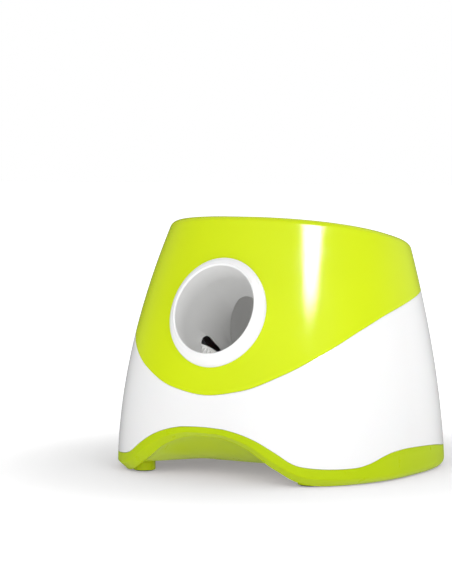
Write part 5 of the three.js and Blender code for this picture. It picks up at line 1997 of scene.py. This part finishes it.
@dataclass
class Hopper:
    """The open bowl on top, which narrows to a round throat over the tube's inlet."""

    casing: Casing
    tube: LaunchTube
    wall: float = 2.5
    throat: float = 29.6
    spigot: float = 9.0
    floor: float = 172.0
    gap: float = 0.4
    clamp: float = 3.5
    edge: float = 0.5
    steps: int = 192
    curve_steps: int = 16
    crease_deg: float = 45.0

    @property
    def angles(self) -> np.ndarray:
        """Angles round the casing, in degrees."""
        return 360 * np.arange(self.steps) / self.steps

    def ring(self, radius: float, z: float) -> np.ndarray:
        """A ring about the throat's axis.

        Args:
            radius: Its radius.
            z: Its height.

        Returns:
            Rows of x, y and z.
        """
        turn = np.radians(self.angles - 90)
        x, y = radius * np.cos(turn), self.tube.inlet_y + radius * np.sin(turn)
        return np.stack([x, y, np.full(self.steps, z)], axis=-1)

    def bowl(self, wall: float, bend: float) -> np.ndarray:
        """A row of the bowl, from the rim to the throat.

        Args:
            wall: How far inside the bowl's outer face.
            bend: Angle along the bowl's curve, from 0 at the rim to a quarter turn at the throat.

        Returns:
            Rows of x, y and z.
        """
        start = self.casing.rim(self.angles, self.casing.lip_inset + self.gap + wall, 0)
        end = self.ring(self.throat + self.wall - wall, self.floor + wall)
        shares = np.array([1 - math.cos(bend), 1 - math.cos(bend), math.sin(bend)])
        return lerp(start, end, shares)

    def build(self, shop: Workshop) -> None:
        """Makes and dresses the hopper.

        Args:
            shop: Dresses the piece.
        """
        casing, angle, soft = self.casing, self.angles, self.edge
        bends = np.linspace(0, math.pi / 2, self.curve_steps + 1)
        inset, clamp = casing.lip_inset + self.gap, casing.lip_inset - self.clamp
        top, low = casing.lip_thickness + self.gap, self.floor - self.spigot
        outer, under = self.throat + self.wall - SEAT_GAP, top + self.wall
        rows = [casing.rim(angle, inset + self.wall - soft, 0)]
        rows += [self.bowl(self.wall, bend) for bend in bends[1:]]
        spigot = (
            (self.throat, self.floor), (self.throat, low + soft), (self.throat + soft, low),
            (outer - soft, low), (outer, low + soft),
        )
        rows += [self.ring(radius, z) for radius, z in spigot]
        rows += [self.bowl(0.0, bend) for bend in bends[:0:-1]]
        middle = ROUND_SHARE * soft
        collar = (
            (inset, under), (clamp, under), (clamp, top), (inset, top), (inset, middle), (inset + middle, 0),
        )
        rows += [casing.rim(angle, place, drop) for place, drop in collar]
        shop.place(swept("open_hopper_bowl", rows), "hopper", self.crease_deg)


# Studio


@dataclass(frozen=True)
class RoomFall:
    """A side towards which the room gets darker.

    The way points to it. Start and end say how squarely a ray faces it, as cosines, where the fall starts and
    ends, and low is the share of light that is left there.
    """

    way: tuple[float, float, float]
    start: float
    end: float
    low: float


@dataclass
class Studio:
    """The pale floor, the soft lights and the camera."""

    casing: Casing
    azimuth: float = 31.68
    elevation: float = 4.81
    distance: float = 2000.0
    aim_height: float = 115.0
    focal_px: float = 2205.1
    centre_px: Pair = (282.61, 338.42)
    image_px: Pair = (452.0, 584.0)
    sensor_mm: float = 36.0
    clip_start: float = 0.05
    floor_size: float = 30.0
    room_level: float = 1.08
    room_falls: tuple[RoomFall, ...] = (
        RoomFall((-0.97, -0.05, 0.0), 0.1, 0.95, 0.28), RoomFall((0.7, 0.7, 0.1), 0.25, 0.95, 0.56),
        RoomFall((0.0, 0.0, 1.0), 0.7, 0.98, 0.5), RoomFall((-0.5, 0.85, 0.0), 0.6, 0.95, 0.2),
    )
    key_place: tuple[float, float, float] = (1500.0, -1300.0, 900.0)
    key_aim_height: float = 110.0
    key_size: Pair = (900.0, 900.0)
    key_watts: float = 4.0
    strip_spot: Pair = (39.2, 175.0)
    strip_distance: float = 1000.0
    strip_size: Pair = (440.0, 640.0)
    strip_watts: float = 58.0
    strip_fade: Pair = (0.1, 0.48)
    strip_taper: Pair = (0.45, 0.12)
    strip_soft: Pair = (0.6, 1.0)

    @property
    def back(self) -> Vector:
        """Direction from the launcher to the camera."""
        turn, tilt = math.radians(self.azimuth), math.radians(self.elevation)
        return Vector((math.sin(turn) * math.cos(tilt), -math.cos(turn) * math.cos(tilt), math.sin(tilt)))

    def camera(self) -> None:
        """Places the camera at the photograph's viewing angle, with its small shift."""
        right = Vector((math.cos(math.radians(self.azimuth)), math.sin(math.radians(self.azimuth)), 0))
        up = self.back.cross(right)
        place = Vector((0, 0, self.aim_height)) + self.back * self.distance
        matrix = Matrix((right, up, self.back)).transposed().to_4x4()
        matrix.translation = place * MM
        data = bpy.data.cameras.new("studio_camera")
        width, height = self.image_px
        data.sensor_width = self.sensor_mm
        data.lens = self.focal_px * self.sensor_mm / height
        data.shift_x = (width / 2 - self.centre_px[0]) / height
        data.shift_y = (self.centre_px[1] - height / 2) / height
        data.clip_start = self.clip_start
        camera = bpy.data.objects.new("studio_camera", data)
        camera.matrix_world = matrix
        bpy.context.scene.collection.objects.link(camera)
        bpy.context.scene.camera = camera

    def softbox(
        self, name: str, place: Vector, aim: Vector, size: Pair, watts: float,
    ) -> Piece:
        """Adds a rectangular light.

        Args:
            name: The light's name.
            place: Its middle, in millimetres.
            aim: The point that it faces, in millimetres.
            size: Width and height, in millimetres.
            watts: Its power.

        Returns:
            The light.
        """
        data = bpy.data.lights.new(name, "AREA")
        data.shape = "RECTANGLE"
        data.size, data.size_y = size[0] * MM, size[1] * MM
        data.energy = watts
        light = bpy.data.objects.new(name, data)
        light.location = place * MM
        light.rotation_euler = (place - aim).to_track_quat("Z", "Y").to_euler()
        bpy.context.scene.collection.objects.link(light)
        return light

    def fade(self, light: Piece) -> None:
        """Makes a light show only in reflections, with soft sides and a low end that thins out and fades.

        Args:
            light: The light.
        """
        light.visible_diffuse = False
        light.data.use_nodes = True
        tree = light.data.node_tree
        tree.nodes.clear()
        place = add_node(tree, "ShaderNodeNewGeometry").outputs["Parametric"]
        across = add_node(tree, "ShaderNodeSeparateXYZ", None, {"Vector": place})
        up, beside = across.outputs["Y"], across.outputs["X"]
        start, end = self.strip_fade
        inputs = {"Value": up, "From Min": start, "From Max": end, "To Min": 0.0, "To Max": 1.0}
        ramp = add_node(tree, "ShaderNodeMapRange", SMOOTH, inputs).outputs["Result"]
        along = add_node(tree, "ShaderNodeMath", {"operation": "POWER"}, {0: ramp, 1: 2.0})
        offset = add_node(tree, "ShaderNodeMath", {"operation": "SUBTRACT"}, {0: beside, 1: 0.5})
        away = add_node(tree, "ShaderNodeMath", {"operation": "ABSOLUTE"}, {0: offset.outputs["Value"]})
        slope, foot = self.strip_taper
        half = add_node(tree, "ShaderNodeMath", {"operation": "MULTIPLY_ADD"}, {0: up, 1: slope, 2: foot})
        inputs = {0: away.outputs["Value"], 1: half.outputs["Value"]}
        share = add_node(tree, "ShaderNodeMath", {"operation": "DIVIDE"}, inputs).outputs["Value"]
        start, end = self.strip_soft
        inputs = {"Value": share, "From Min": start, "From Max": end, "To Min": 1.0, "To Max": 0.0}
        side = add_node(tree, "ShaderNodeMapRange", SMOOTH, inputs)
        inputs = {0: along.outputs["Value"], 1: side.outputs["Result"]}
        both = add_node(tree, "ShaderNodeMath", {"operation": "MULTIPLY"}, inputs)
        glow = add_node(tree, "ShaderNodeEmission", None, {"Strength": both.outputs["Value"]})
        add_node(tree, "ShaderNodeOutputLight", None, {"Surface": glow.outputs["Emission"]})

    def mirror_place(self, angle: float, height: float, distance: float) -> tuple[Vector, Vector]:
        """Where a light has to stand to be mirrored at one place on the casing.

        Args:
            angle: The place's angle round the casing.
            height: The place's height.
            distance: How far from it the light stands.

        Returns:
            The light's middle and the place on the casing.
        """
        step = 0.01
        around = ((-step, 0), (step, 0), (0, -step), (0, step))
        west, east, low, high = (self.casing.point(np.array([angle + a]), height + z)[0] for a, z in around)
        normal = Vector(np.cross(east - west, high - low)).normalized()
        spot = Vector(self.casing.point(np.array([angle]), height)[0])
        to_camera = (Vector((0, 0, self.aim_height)) + self.back * self.distance - spot).normalized()
        mirrored = 2 * normal.dot(to_camera) * normal - to_camera
        return spot + mirrored * distance, spot

    def room(self) -> bpy.types.World:
        """Returns the white room, which falls off towards both sides, the far left and overhead."""
        world = bpy.data.worlds.new("soft_room")
        world.use_nodes = True
        tree = world.node_tree
        tree.nodes.clear()
        ray = add_node(tree, "ShaderNodeTexCoord").outputs["Generated"]
        level = self.room_level
        for fall in self.room_falls:
            inputs = {0: ray, 1: tuple(Vector(fall.way).normalized())}
            facing = add_node(tree, "ShaderNodeVectorMath", {"operation": "DOT_PRODUCT"}, inputs)
            inputs = {"Value": facing.outputs["Value"], "From Min": fall.start, "From Max": fall.end}
            inputs.update({"To Min": 1.0, "To Max": fall.low})
            falling = add_node(tree, "ShaderNodeMapRange", SMOOTH, inputs)
            inputs = {0: falling.outputs["Result"], 1: level}
            level = add_node(tree, "ShaderNodeMath", {"operation": "MULTIPLY"}, inputs).outputs["Value"]
        # What the camera sees straight on stays white
        inputs = {0: level, 1: add_node(tree, "ShaderNodeLightPath").outputs["Is Camera Ray"]}
        level = add_node(tree, "ShaderNodeMath", {"operation": "MAXIMUM"}, inputs).outputs["Value"]
        inputs = {"Color": (1, 1, 1, 1), "Strength": level}
        background = add_node(tree, "ShaderNodeBackground", None, inputs)
        add_node(tree, "ShaderNodeOutputWorld", None, {"Surface": background.outputs["Background"]})
        return world

    def build(self) -> None:
        """Sets up the floor, the lights and the camera."""
        bpy.ops.mesh.primitive_plane_add(size=self.floor_size)
        floor = bpy.context.object
        floor.name = "studio_floor"
        # The paper's glow is dim round the launcher's foot, which paints a soft shade there
        floor.data.materials.append(PaperSweep("white_paper_sweep", "#FAFAFA").build())
        floor.visible_glossy = False
        bpy.context.scene.world = self.room()
        bpy.context.scene.view_settings.view_transform = "Standard"
        aim = Vector((0, 0, self.key_aim_height))
        key = self.softbox("key_softbox", Vector(self.key_place), aim, self.key_size, self.key_watts)
        key.visible_glossy = False
        place, spot = self.mirror_place(*self.strip_spot, self.strip_distance)
        self.fade(self.softbox("strip_light", place, spot, self.strip_size, self.strip_watts))
        self.camera()


def main() -> None:
    """Builds the launcher's sub-assemblies in order, then the studio."""
    logging.basicConfig(level=logging.INFO, format="%(message)s")
    shop = Workshop()
    casing, seams = Casing(), Seams()
    axis = LaunchAxis(casing)
    panel = ControlPanel(casing)
    Shells(casing, seams, axis, panel).build(shop)
    bay = BatteryBay()
    Underside(casing, seams, bay).build(shop)
    bay.build(shop)
    panel.build(shop)
    wheels = LaunchWheels(axis)
    tube = LaunchTube(axis)
    tube.dress_sleeve(shop.place(tube.ring(), "muzzle_ring"), shop)
    shop.place(tube.tube(wheels, BallLever(), FeedSlot()), "launch_tube", tube.crease_deg)
    wheels.build(shop)
    Hopper(casing, tube).build(shop)
    for node, piece in frame["nodes"].items():
        # Painted shade: the wheel housings get the dark finish, so that the wheels' slots look black between
        # the tyres and the tube
        shop.dress_node(node, "dark_plastic" if "housing" in node else None)
        shade(piece, CAD_CREASE_DEG)
    Studio(casing).build()


if __name__ == "__main__":
    main()
